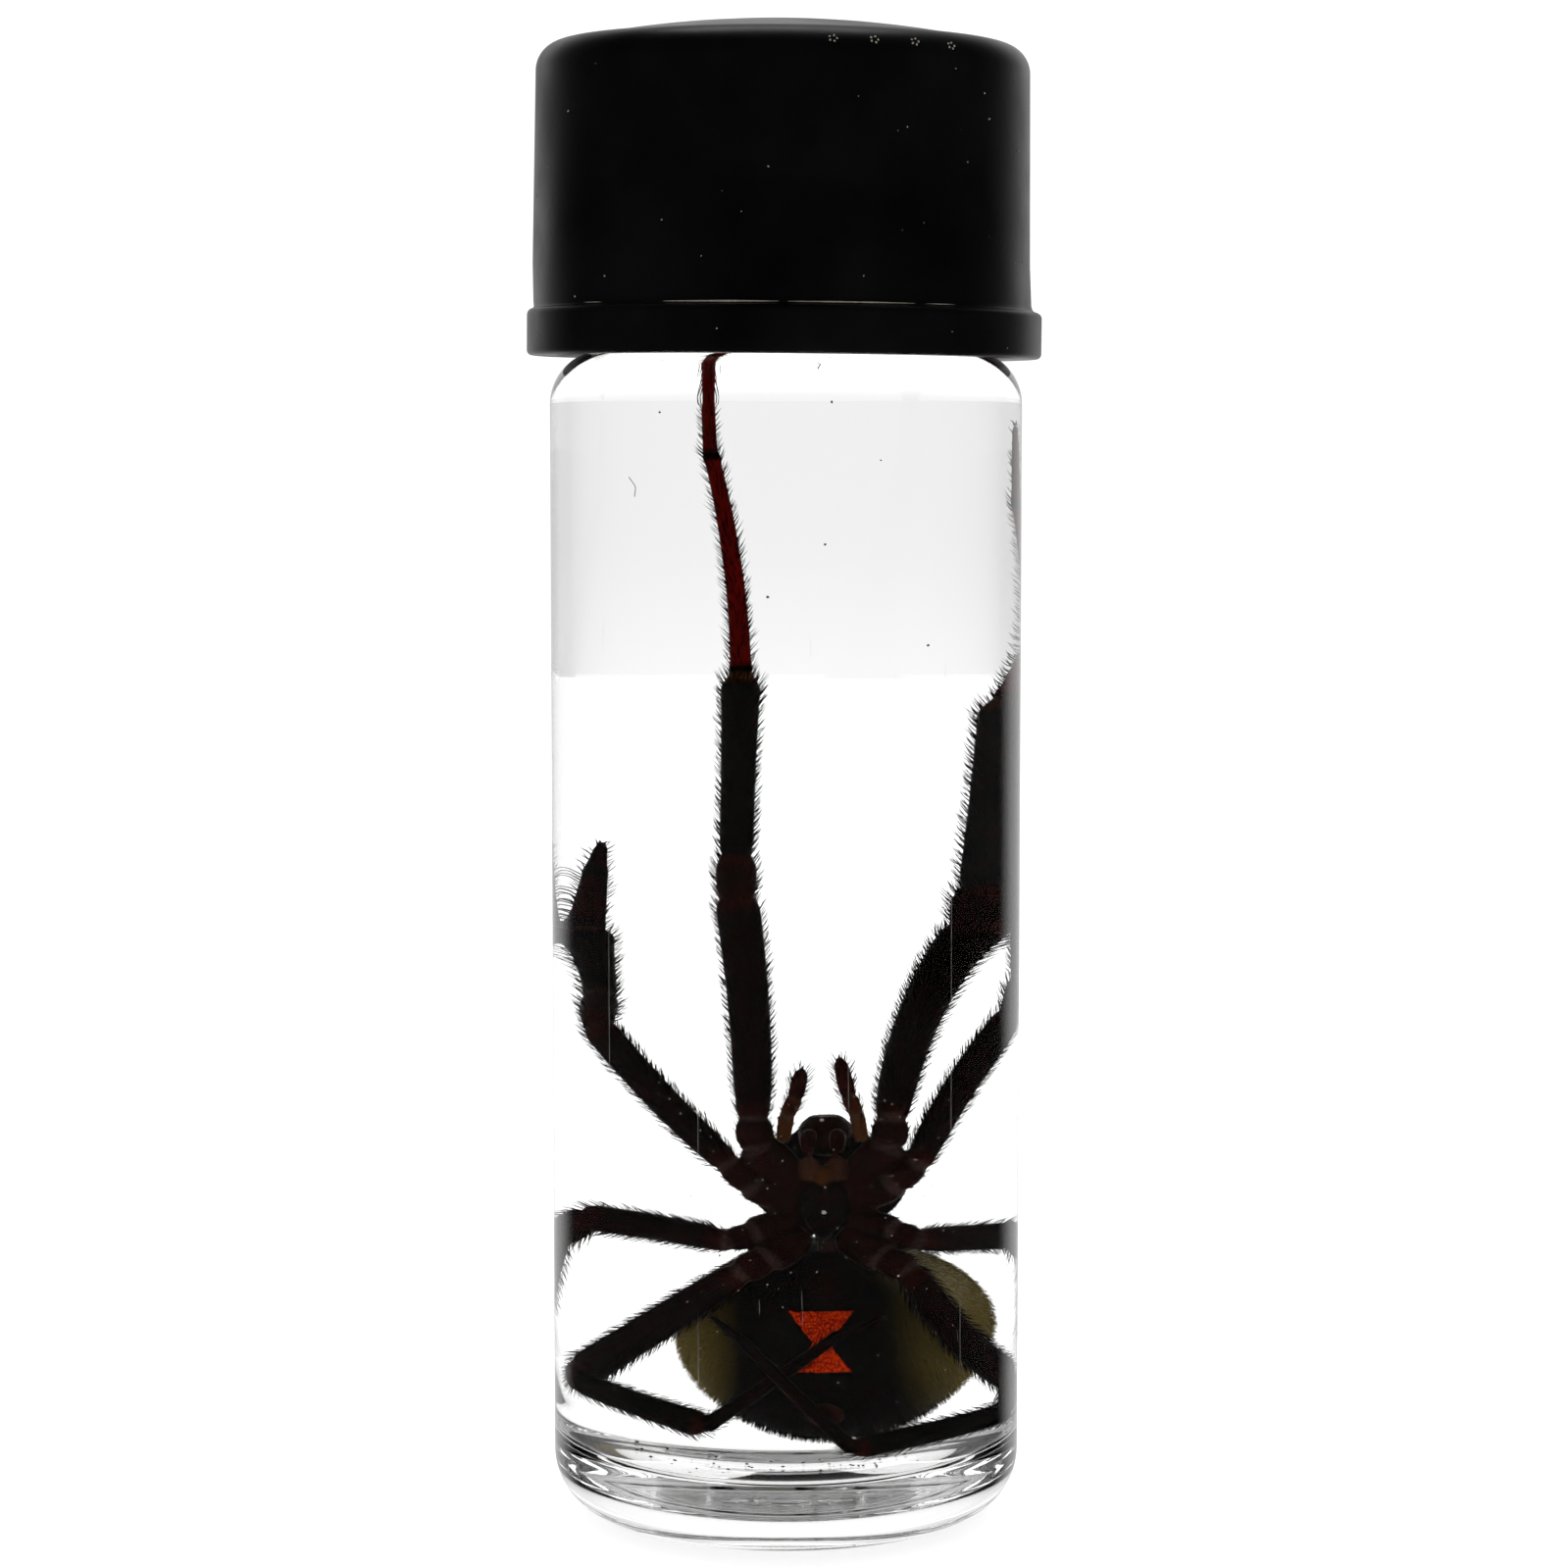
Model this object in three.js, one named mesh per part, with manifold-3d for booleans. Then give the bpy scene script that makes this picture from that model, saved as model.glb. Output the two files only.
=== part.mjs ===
// A female black widow spider kept in liquid in a small screw-capped glass vial, ventral side forward.
// Millimetres, +Z up. The origin is the centre of the vial's base. The viewer stands at -Y.
import * as THREE from 'three';
import { mergeVertices } from 'three/addons/utils/BufferGeometryUtils.js';
import Module from 'manifold-3d';

const wasm = await Module();
wasm.setup();

// Spaces
const GAP = 0.3;
const TURN = 2 * Math.PI;

// Glass vial: 15 mm across, 44.8 mm tall, with a threaded neck
const VIAL_R = 7.5;
const VIAL_WALL = 1.0;
const VIAL_TOP = 44.8;
const FLOOR = 1.95;
const BASE_CORNER = 2.0;
const INNER_CORNER = 1.5;
const SHOULDER_R = 1.7;
const SHOULDER_TOP = 37.3;
const NECK_R = 5.7;
const BORE_R = 4.3;
const LIP_ROUND = 0.35;
const VIAL_SIDES = 48;

// Screw thread, one and a quarter turns
const THREAD_PITCH = 2.1;
const THREAD_TURNS = 1.25;
const NECK_THREAD = { root: 5.45, crest: 6.3, low: 39.6, foot: 0.55, tip: 0.25 };
const CAP_THREAD = { root: 7.0, crest: 6.2, low: 40.65, foot: 0.4, tip: 0.2 };

// Cap: moulded skirt with a bead round its foot
const CAP_FOOT = 37.08;
const CAP_TOP = 47.6;
const CAP_R_FOOT = 7.89;
const CAP_R_TOP = 7.8;
const CAP_CROWN = 0.7;
const CROWN_R = 6.7;
const CAP_ROUND = 0.9;
const BEAD_R = 8.16;
const BEAD_TOP = 38.55;
const CAP_BORE_R = 6.75;
const CAP_CEILING = 46.0;
const LINER_R = 6.3;
const LINER_LOW = VIAL_TOP + GAP;
const LINER_HIGH = CAP_CEILING - GAP;

// Spider: the body's mid-plane and the main lengths
const MID_X = 0.9;
const CARAPACE = { centre: [0.97, 0.84, 11.05], half: [1.9, 0.56, 1.9], narrowing: 0.42, pit: 0.18 };
const STERNUM = { centre: [MID_X, -0.22, 10.25], half: [0.72, 0.8, 1.15], taper: 0.45, flat: 0.92 };
const HEAD = { centre: [MID_X + 0.02, 0.35, 12.45], half: [0.66, 0.74, 0.72], flat: 0.86 };
const PEDICEL = { from: [MID_X + 0.05, 0.35, 9.6], to: [MID_X + 0.07, 0.45, 9.06], radius: 0.26 };
const PAD = { apart: 0.33, y: -0.66, z: 11.5, half: [0.25, 0.3, 0.42] };
const LIP = { y: -0.72, z: 11.28, half: [0.2, 0.26, 0.3] };
const ABDOMEN = { centre: [1.03, 1.5, 5.7], half: [3.45, 3.4, 3.25], lean: 0.07, narrowing: 0.05 };

// Eyes in two rows of four: each row's height, depth and places to the sides
const EYE_HALF = [0.085, 0.085, 0.13];
const EYE_DROP = 0.55;
const EYE_ROWS = [
  { z: 13.02, y: 0.18, places: [-0.42, -0.14, 0.14, 0.42] },
  { z: 12.98, y: 0.62, places: [-0.44, -0.15, 0.15, 0.44] },
];

// Jaws: a stout base and the folded fang, as offsets from the mid-plane, depths and heights
const JAW = {
  apart: 0.33,
  base: [[0, -0.66, 12.55], [0.05, -0.95, 12.5], [0.01, -1.3, 12.15]],
  baseRings: [[0, 0.16], [0.12, 0.19], [0.6, 0.19], [0.92, 0.17], [1, 0.1]],
  fang: [[0.06, -1.22, 12.2], [0.04, -1.5, 11.9], [-0.1, -1.42, 11.75]],
  fangRings: [[0, 0.1], [0.5, 0.08], [1, 0.03]],
};

// Red mark: heights, half widths, and how far its foot lies from the middle
const MARK = {
  top: 7.0,
  waist: 6.05,
  foot: 5.1,
  topHalf: 0.82,
  waistHalf: 0.26,
  footHalf: 0.68,
  middle: 0.87,
  footShift: 0.1,
  depth: 0.85,
  bedSide: 0.45,
};

// Spinnerets: a low ring and six small cones on it
const SPINNERETS = {
  root: [0.98, -1.7, 3.75],
  lie: [0, -0.8, -0.6],
  ring: [[0, 0.5], [0.5, 0.55], [1, 0.42]],
  ringLength: 0.28,
  count: 6,
  spread: 0.26,
  cone: [[0.1, 0.16], [0.7, 0.15], [1, 0.07]],
  coneLength: 0.5,
};

// Thickness of a leg's seven lengths as radii, from the coxa out, and each pair's share of it.
// The coxa and the trochanter are of one piece with the front body, and the leg starts at the femur.
const LEG_RADII = {
  coxa: [0.5, 0.58],
  trochanter: [0.46, 0.44],
  femur: [0.45, 0.51],
  patella: [0.47, 0.45],
  tibia: [0.41, 0.41],
  metatarsus: [0.27, 0.25],
  tarsus: [0.25, 0.14],
};
const BODY_LENGTHS = 2;
const ROOT_GAP = 0.58;
const PAIR_SHARE = [1.05, 0.9, 0.88, 1.02];
const THINNEST = 0.25;
const LEG_SIDES = 8;

// Fullness of one length of a limb from its narrow start to its rounded end, as [place along, share of radius]
const LENGTH_PROFILE = [[0, 0.72], [0.08, 0.95], [0.3, 1], [0.72, 1], [0.93, 1.04], [1, 0.68]];

// Where each leg's lengths end, from the coxa's root to the tip of the tarsus.
// Right and left are the spider's own, so its right legs are at -X.
const LEG_JOINTS = {
  leg_1_right: [
    [0.3, -0.15, 10.9], [-0.72, -0.6, 12.2], [-0.79, -0.6, 13.05], [-1.13, 0.9, 19.95],
    [-1.12, 1.2, 21.25], [-0.96, 2.5, 27.0], [-1.6, 2.7, 34.1], [-1.7, 2.45, 36.8],
  ],
  leg_1_left: [
    [1.5, -0.15, 10.9], [2.5, -0.6, 12.2], [2.55, -0.6, 13.0], [3.58, 4.1, 18.65],
    [3.66, 4.2, 19.9], [4.1, 3.95, 26.05], [5.06, 1.95, 32.6], [4.98, 2.0, 34.9],
  ],
  leg_2_right: [
    [0.25, -0.15, 10.3], [-0.85, -0.6, 10.95], [-1.38, -0.6, 11.6], [-4.38, 0.9, 15.75],
    [-3.9, 2.4, 16.55], [-3.62, 4.3, 18.5], [-3.45, 4.55, 20.55], [-3.3, 4.9, 21.3],
  ],
  leg_2_left: [
    [1.55, -0.15, 10.3], [2.65, -0.6, 10.95], [3.2, -0.6, 11.5], [5.1, 1.7, 15.95],
    [5.42, 1.65, 17.1], [5.72, 0.9, 19.9], [5.88, -0.3, 24.3], [5.85, -0.9, 25.9],
  ],
  leg_3_right: [
    [0.25, -0.2, 9.8], [-0.8, -0.6, 9.4], [-1.38, -0.6, 9.1], [-4.3, 1.95, 9.35],
    [-4.9, 2.3, 8.5], [-5.2, 2.7, 5.9], [-5.0, 2.95, 3.55], [-4.5, 3.3, 2.85],
  ],
  leg_3_left: [
    [1.55, -0.2, 9.8], [2.6, -0.6, 9.4], [3.2, -0.6, 9.1], [5.05, 1.95, 8.62],
    [5.25, 2.5, 7.8], [5.2, 2.75, 5.2], [4.95, 3.05, 3.5], [4.4, 3.4, 2.85],
  ],
  leg_4_right: [
    [0.4, -0.35, 9.3], [-0.5, -0.95, 8.6], [-1.12, -1.08, 8.2], [-4.75, 0.85, 4.45],
    [-5.25, -0.1, 4.3], [-2.03, -1.6, 3.33], [1.35, -2.85, 6.45], [2.5, -2.7, 6.95],
  ],
  leg_4_left: [
    [1.4, -0.35, 9.3], [2.42, -0.98, 8.6], [3.1, -1.25, 8.22], [5.6, 0.55, 4.2],
    [5.68, 0.3, 3.17], [1.76, -2.42, 2.7], [-1.18, -3.9, 6.45], [-1.98, -3.9, 7.15],
  ],
};

// How far a length's middle is drawn aside, where it isn't straight
const LEG_BOWS = {
  leg_1_right: { femur: [0.18, 0, 0], metatarsus: [0.28, 0, 0] },
  leg_1_left: { femur: [-0.38, 0, 0], metatarsus: [0.6, 0, 0] },
  leg_2_right: { femur: [-0.2, 0, -0.1] },
  leg_2_left: { femur: [-0.25, 0, 0] },
  leg_3_right: { femur: [-0.1, 0, 0.18] },
  leg_3_left: { femur: [0.1, 0, 0.1] },
  leg_4_right: { femur: [-0.1, 0, 0.1] },
  leg_4_left: { femur: [0, -1.5, -0.2] },
};

// Pedipalps: trochanter, femur, patella with tibia, and tarsus
const PALP_RADII = [0.19, 0.2, 0.21, 0.12];
const PALP_JOINTS = {
  pedipalp_right: [[-0.08, -1.23, 12.42], [0.02, -1.4, 13.3], [0.23, -1.4, 13.8], [0.4, -1.3, 14.75]],
  pedipalp_left: [[1.88, -1.23, 12.42], [1.76, -1.4, 13.3], [1.56, -1.4, 13.85], [1.31, -1.3, 15.1]],
};

// Colours
const GLASS = { color: 0xf2f6f4, roughness: 0.03, metalness: 0 };
const CAP_BLACK = { color: 0x0b0b0c, roughness: 0.35, metalness: 0 };
const LINER_WHITE = { color: 0xd9d6cc, roughness: 0.8, metalness: 0 };
const BODY_BLACK = { color: 0x120d0b, roughness: 0.4, metalness: 0 };
const LEG_BROWN = { color: 0x1e120e, roughness: 0.45, metalness: 0 };
const HEAD_BROWN = { color: 0x40221a, roughness: 0.5, metalness: 0 };
const MARK_RED = { color: 0xe2451a, roughness: 0.5, metalness: 0 };

// Solids

// A closed solid from a three.js geometry, with its flat triangles dropped and its faces turned out
function solidOf(source) {
  const bare = source.clone();
  bare.deleteAttribute('normal');
  bare.deleteAttribute('uv');
  const merged = mergeVertices(bare, 1e-4);
  const spots = merged.attributes.position.array;
  const index = merged.index.array;
  const triangles = [];
  let volume = 0;
  const corner = [new THREE.Vector3(), new THREE.Vector3(), new THREE.Vector3()];
  for (let i = 0; i < index.length; i += 3) {
    const [a, b, c] = index.slice(i, i + 3);
    if (a === b || b === c || c === a) continue;
    triangles.push(a, b, c);
    [a, b, c].forEach((n, k) => corner[k].fromArray(spots, 3 * n));
    volume += corner[0].dot(corner[1].cross(corner[2]));
  }
  if (volume < 0) triangles.reverse();
  const mesh = new wasm.Mesh({
    numProp: 3,
    vertProperties: new Float32Array(spots),
    triVerts: new Uint32Array(triangles),
  });
  mesh.merge();
  return new wasm.Manifold(mesh);
}

// The union of several solids
function fused(solids) {
  return solids.reduce((whole, piece) => whole.add(piece));
}

// The largest closed surface of a solid, as a geometry
function geometryOf(solid) {
  const largest = solid.decompose().reduce((best, piece) => (piece.volume() > best.volume() ? piece : best));
  const mesh = largest.getMesh();
  const spots = new Float32Array(mesh.numVert * 3);
  for (let i = 0; i < mesh.numVert; i += 1) {
    for (let k = 0; k < 3; k += 1) spots[3 * i + k] = mesh.vertProperties[i * mesh.numProp + k];
  }
  const geometry = new THREE.BufferGeometry();
  geometry.setAttribute('position', new THREE.BufferAttribute(spots, 3));
  geometry.setIndex(new THREE.BufferAttribute(new Uint32Array(mesh.triVerts), 1));
  geometry.computeVertexNormals();
  return geometry;
}

function meshOf(name, solid, look) {
  const mesh = new THREE.Mesh(geometryOf(solid), new THREE.MeshStandardMaterial(look));
  mesh.name = name;
  return mesh;
}

// A geometry with each of its points moved by a function
function mapped(geometry, move) {
  const spots = geometry.attributes.position;
  const point = new THREE.Vector3();
  for (let i = 0; i < spots.count; i += 1) {
    point.fromBufferAttribute(spots, i);
    const moved = move(point);
    spots.setXYZ(i, moved.x, moved.y, moved.z);
  }
  return geometry;
}

// A lathe turned about +Z from [radius, height] pairs
function turned(profile, sides) {
  const points = profile.map(([radius, height]) => new THREE.Vector2(radius, height));
  const geometry = new THREE.LatheGeometry(points, sides);
  geometry.rotateX(Math.PI / 2);
  return solidOf(geometry);
}

// Points of an arc in the lathe's half plane, angles in quarter turns from +radius towards +height
function arc(centreR, centreZ, radius, start, end, steps) {
  const points = [];
  for (let i = 0; i <= steps; i += 1) {
    const angle = ((start + ((end - start) * i) / steps) * TURN) / 4;
    points.push([centreR + radius * Math.cos(angle), centreZ + radius * Math.sin(angle)]);
  }
  return points;
}

// A round rod that follows a curve, with a [place along, radius] pair for each ring
function rod(curve, rings, sides) {
  const geometry = new THREE.CylinderGeometry(1, 1, rings.length - 1, sides, rings.length - 1);
  const ends = curve.getPoint(1).sub(curve.getPoint(0));
  const aside = Math.abs(ends.clone().normalize().z) > 0.9 ? new THREE.Vector3(0, 1, 0) : new THREE.Vector3(0, 0, 1);
  mapped(geometry, (point) => {
    const ring = Math.round(point.y + (rings.length - 1) / 2);
    const [along, radius] = rings[ring];
    const centre = curve.getPoint(along);
    const forward = curve.getTangent(along);
    const across = new THREE.Vector3().crossVectors(aside, forward).normalize();
    const over = new THREE.Vector3().crossVectors(forward, across);
    return centre.addScaledVector(across, point.x * radius).addScaledVector(over, point.z * radius);
  });
  return solidOf(geometry);
}

// A ball scaled to three half sizes, its outline changed by an optional shape function of the unit point
function ball(centre, half, across, along, shape = (point) => point) {
  const geometry = new THREE.SphereGeometry(1, across, along);
  geometry.rotateX(Math.PI / 2);
  mapped(geometry, (point) => {
    const shaped = shape(point.clone());
    return new THREE.Vector3(
      centre[0] + shaped.x * half[0],
      centre[1] + shaped.y * half[1],
      centre[2] + shaped.z * half[2],
    );
  });
  return solidOf(geometry);
}

// A helical ridge from its root cylinder to its crest, fading in and out at both ends
function thread({ root, crest, low, foot, tip }) {
  const steps = Math.round(24 * THREAD_TURNS);
  const fade = 3;
  const geometry = new THREE.CylinderGeometry(1, 1, steps, 4, steps);
  mapped(geometry, (point) => {
    const step = point.y + steps / 2;
    const angle = (step / steps) * THREAD_TURNS * TURN;
    const fullness = Math.min(1, Math.max(0.15, step / fade), Math.max(0.15, (steps - step) / fade));
    const outward = point.x > 0.5 || point.z > 0.5;
    const upward = point.z > 0.5 || point.x < -0.5;
    const radius = outward ? root + (crest - root) * fullness : root;
    const halfWidth = (outward ? tip : foot) * (0.4 + 0.6 * fullness);
    const height = low + (step / steps) * THREAD_TURNS * THREAD_PITCH + (upward ? halfWidth : -halfWidth);
    const atCentre = Math.hypot(point.x, point.z) < 0.5;
    const reach = atCentre ? (root + crest) / 2 : radius;
    const level = atCentre ? low + (step / steps) * THREAD_TURNS * THREAD_PITCH : height;
    return new THREE.Vector3(reach * Math.cos(angle), reach * Math.sin(angle), level);
  });
  return solidOf(geometry);
}

// Vial and cap

function vialGlass() {
  const inner = VIAL_R - VIAL_WALL;
  const innerShoulder = SHOULDER_R - VIAL_WALL * 0.8;
  const shoulderZ = SHOULDER_TOP - SHOULDER_R;
  const outline = [
    [0, 0],
    ...arc(VIAL_R - BASE_CORNER, BASE_CORNER, BASE_CORNER, -1, 0, 5),
    ...arc(VIAL_R - SHOULDER_R, shoulderZ, SHOULDER_R, 0, 0.9, 5),
    [NECK_R, SHOULDER_TOP + 0.2],
    ...arc(NECK_R - LIP_ROUND, VIAL_TOP - LIP_ROUND, LIP_ROUND, 0, 1, 2),
    ...arc(BORE_R + LIP_ROUND, VIAL_TOP - LIP_ROUND, LIP_ROUND, 1, 2, 2),
    [BORE_R, SHOULDER_TOP - 0.1],
    ...arc(inner - innerShoulder, shoulderZ, innerShoulder, 0.8, 0, 3),
    ...arc(inner - INNER_CORNER, FLOOR + INNER_CORNER, INNER_CORNER, 0, -1, 3),
    [0, FLOOR],
  ];
  return fused([turned(outline, VIAL_SIDES), thread(NECK_THREAD)]);
}

function cap() {
  const outline = [
    [0, CAP_CEILING],
    [CAP_BORE_R, CAP_CEILING],
    [CAP_BORE_R, CAP_FOOT + 0.4],
    [CAP_BORE_R + 0.5, CAP_FOOT],
    [BEAD_R - 0.15, CAP_FOOT],
    [BEAD_R, CAP_FOOT + 0.2],
    [BEAD_R, BEAD_TOP - 0.3],
    [BEAD_R - 0.12, BEAD_TOP],
    [CAP_R_FOOT, BEAD_TOP + 0.08],
    ...arc(CAP_R_TOP - CAP_ROUND, CAP_TOP - CAP_CROWN - CAP_ROUND, CAP_ROUND, 0, 0.95, 4),
    ...[0.85, 0.65, 0.45, 0.25].map((share) => [CROWN_R * share, CAP_TOP - CAP_CROWN * share * share]),
    [0, CAP_TOP],
  ];
  return fused([turned(outline, VIAL_SIDES), thread(CAP_THREAD)]);
}

function capLiner() {
  return turned([[0, LINER_LOW], [LINER_R, LINER_LOW], [LINER_R, LINER_HIGH], [0, LINER_HIGH]], 40);
}

// Spider

// Front body: the carapace widest behind its middle, the narrow raised head, the heart-shaped sternum,
// the mouth's lip and pads, the stalk of the waist, the eyes, and the two lengths that every leg springs from
function prosoma() {
  const carapace = ball(CARAPACE.centre, CARAPACE.half, 18, 10, (point) => {
    const narrow = 1 - CARAPACE.narrowing * THREE.MathUtils.smoothstep(point.z, -0.1, 1);
    const fromPit = point.x * point.x + (point.z + 0.2) ** 2;
    const pit = point.y > 0 ? CARAPACE.pit * Math.exp(-12 * fromPit) : 0;
    return point.set(point.x * narrow, point.y - pit, point.z);
  });
  const sternum = ball(STERNUM.centre, STERNUM.half, 12, 8, (point) => {
    const taper = 1 - STERNUM.taper * THREE.MathUtils.smoothstep(-point.z, 0, 1);
    return point.set(point.x * taper, Math.max(point.y, -STERNUM.flat), point.z);
  });
  const head = ball(HEAD.centre, HEAD.half, 12, 8, (point) => point.set(point.x, point.y, Math.min(point.z, HEAD.flat)));
  const stalk = rod(
    new THREE.LineCurve3(new THREE.Vector3(...PEDICEL.from), new THREE.Vector3(...PEDICEL.to)),
    [[0, PEDICEL.radius], [1, PEDICEL.radius]],
    8,
  );
  const pads = [-1, 1].map((side) => ball([MID_X + side * PAD.apart, PAD.y, PAD.z], PAD.half, 8, 6));
  const lip = ball([MID_X, LIP.y, LIP.z], LIP.half, 8, 6);
  const roots = Object.keys(LEG_JOINTS).flatMap((name) => lengthsOf(name).slice(0, BODY_LENGTHS));
  return fused([carapace, sternum, head, stalk, ...pads, lip, ...eyes(), ...roots]);
}

// Eight small eyes in two rows of four across the top of the head
function eyes() {
  return EYE_ROWS.flatMap(({ z, y, places }) => places.map((place) => (
    ball([HEAD.centre[0] + place, y, z - EYE_DROP * place * place], EYE_HALF, 6, 4)
  )));
}

// Globe of the abdomen, leaning back towards its top and a little narrower below
function globe() {
  return ball(ABDOMEN.centre, ABDOMEN.half, 28, 20, (point) => {
    const lean = ABDOMEN.lean * point.z;
    const rear = 1 - ABDOMEN.narrowing * THREE.MathUtils.smoothstep(-point.z, 0.1, 1);
    return point.set(point.x * rear, point.y * rear + lean, point.z);
  });
}

// The abdomen with the bed of the red mark sunk in its front
function abdomen() {
  return globe().subtract(markPrism(MARK.bedSide, MARK.depth + GAP));
}

// The red hourglass mark on the abdomen's front, as an outline in X and Z
function markShape(grow) {
  const shape = new THREE.Shape();
  const { top, waist, foot, topHalf, waistHalf, footHalf, middle, footShift } = MARK;
  shape.moveTo(middle - topHalf - grow, top + grow);
  shape.lineTo(middle + topHalf + grow, top + grow);
  shape.lineTo(middle + waistHalf + grow, waist);
  shape.lineTo(middle + footShift + footHalf + grow, foot - grow);
  shape.lineTo(middle + footShift - footHalf - grow, foot - grow);
  shape.lineTo(middle - waistHalf - grow, waist);
  shape.closePath();
  return shape;
}

// The mark's outline run back from the viewer's side to a depth behind the abdomen's foremost point
function markPrism(grow, depth) {
  const front = ABDOMEN.centre[1] - ABDOMEN.half[1] - 1;
  const geometry = new THREE.ExtrudeGeometry(markShape(grow), { depth: depth + 1, bevelEnabled: false });
  geometry.rotateX(Math.PI / 2);
  geometry.translate(0, front + depth + 1, 0);
  return solidOf(geometry);
}

function hourglass() {
  return globe().intersect(markPrism(0, MARK.depth));
}

// Six spinnerets on a low ring below the abdomen's front
function spinnerets() {
  const root = new THREE.Vector3(...SPINNERETS.root);
  const lie = new THREE.Vector3(...SPINNERETS.lie);
  const top = root.clone().addScaledVector(lie, SPINNERETS.ringLength);
  const ring = rod(new THREE.LineCurve3(root, top), SPINNERETS.ring, 12);
  const cones = Array.from({ length: SPINNERETS.count }, (_, i) => {
    const angle = ((i + 0.5) / SPINNERETS.count) * TURN;
    const aside = new THREE.Vector3(Math.cos(angle), 0, Math.sin(angle)).multiplyScalar(SPINNERETS.spread);
    const foot = root.clone().add(aside);
    const tip = foot.clone().addScaledVector(lie, SPINNERETS.coneLength);
    return rod(new THREE.LineCurve3(foot, tip), SPINNERETS.cone, 6);
  });
  return fused([ring, ...cones]);
}

// One jaw: a stout base turned towards the viewer, with its fang folded inward
function chelicera(side) {
  const curve = (places) => new THREE.QuadraticBezierCurve3(
    ...places.map(([aside, y, z]) => new THREE.Vector3(MID_X + side * (JAW.apart + aside), y, z)),
  );
  return fused([rod(curve(JAW.base), JAW.baseRings, 8), rod(curve(JAW.fang), JAW.fangRings, 6)]);
}

// One length of a limb between two joints, its radii scaled and its middle drawn aside
function podomere(start, end, [startRadius, endRadius], share, bow) {
  const middle = start.clone().lerp(end, 0.5).add(bow);
  const rings = LENGTH_PROFILE.map(([along, fullness]) => {
    const radius = THREE.MathUtils.lerp(startRadius, endRadius, along) * share;
    return [along, Math.max(radius, Math.min(THINNEST, endRadius)) * fullness];
  });
  return rod(new THREE.QuadraticBezierCurve3(start, middle, end), rings, LEG_SIDES);
}

// The seven lengths of a leg, with a gap before the first one outside the front body
function lengthsOf(name) {
  const pair = Number(name.split('_')[1]);
  const joints = LEG_JOINTS[name].map((place) => new THREE.Vector3(...place));
  return Object.entries(LEG_RADII).map(([part, radii], i) => {
    const start = joints[i].clone();
    if (i === BODY_LENGTHS) start.add(joints[i + 1].clone().sub(start).setLength(ROOT_GAP));
    const bow = new THREE.Vector3(...(LEG_BOWS[name][part] ?? [0, 0, 0]));
    return podomere(start, joints[i + 1], radii, PAIR_SHARE[pair - 1], bow);
  });
}

function leg(name) {
  return fused(lengthsOf(name).slice(BODY_LENGTHS));
}

function pedipalp(name) {
  const joints = PALP_JOINTS[name].map((place) => new THREE.Vector3(...place));
  return fused(joints.slice(1).map((to, i) => (
    podomere(joints[i], to, [PALP_RADII[i], PALP_RADII[i + 1]], 1, new THREE.Vector3())
  )));
}

// Assembly

const spider = new THREE.Group();
spider.add(meshOf('prosoma', prosoma(), BODY_BLACK));
spider.add(meshOf('abdomen', abdomen(), BODY_BLACK));
spider.add(meshOf('hourglass', hourglass(), MARK_RED));
spider.add(meshOf('spinnerets', spinnerets(), HEAD_BROWN));
spider.add(meshOf('chelicera_right', chelicera(-1), HEAD_BROWN));
spider.add(meshOf('chelicera_left', chelicera(1), HEAD_BROWN));
for (const name of Object.keys(PALP_JOINTS)) {
  spider.add(meshOf(name, pedipalp(name), HEAD_BROWN));
}
for (const name of Object.keys(LEG_JOINTS)) {
  spider.add(meshOf(name, leg(name), LEG_BROWN));
}

const vial = new THREE.Group();
vial.add(meshOf('vial_glass', vialGlass(), GLASS));
vial.add(meshOf('cap', cap(), CAP_BLACK));
vial.add(meshOf('cap_liner', capLiner(), LINER_WHITE));

const specimen = new THREE.Group();
specimen.add(vial, spider);

export default specimen;
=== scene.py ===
"""A female black widow spider kept in liquid in a screw-capped glass vial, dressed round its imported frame."""
import math

import bpy
import numpy as np
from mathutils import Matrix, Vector
from mathutils.kdtree import KDTree


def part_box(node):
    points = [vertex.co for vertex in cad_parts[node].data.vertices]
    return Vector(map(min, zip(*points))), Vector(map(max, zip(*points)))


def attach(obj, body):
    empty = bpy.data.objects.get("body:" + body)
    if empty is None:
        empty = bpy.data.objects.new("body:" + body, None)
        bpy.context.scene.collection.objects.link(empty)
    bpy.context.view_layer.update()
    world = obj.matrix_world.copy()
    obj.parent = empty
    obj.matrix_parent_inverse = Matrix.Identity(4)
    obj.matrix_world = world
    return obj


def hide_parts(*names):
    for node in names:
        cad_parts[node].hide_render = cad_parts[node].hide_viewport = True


bl_info = {
    "name": "Spider Specimen in a Vial",
    "version": (1, 0, 0),
    "blender": (4, 5, 0),
    "location": "View3D > Sidebar > Specimen",
    "description": "Builds a black widow spider kept in liquid in a capped glass vial",
    "category": "Object",
}

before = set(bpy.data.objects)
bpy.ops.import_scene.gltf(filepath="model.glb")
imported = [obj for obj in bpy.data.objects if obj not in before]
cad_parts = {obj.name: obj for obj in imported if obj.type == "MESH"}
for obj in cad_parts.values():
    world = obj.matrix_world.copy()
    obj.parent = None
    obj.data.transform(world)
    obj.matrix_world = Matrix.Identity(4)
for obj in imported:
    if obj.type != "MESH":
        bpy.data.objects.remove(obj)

MM = 0.001
TURN = 2 * math.pi
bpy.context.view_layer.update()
GLASS_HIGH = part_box("vial_glass")[1] / MM
CAP_LOW, CAP_HIGH = (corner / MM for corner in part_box("cap"))

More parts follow.
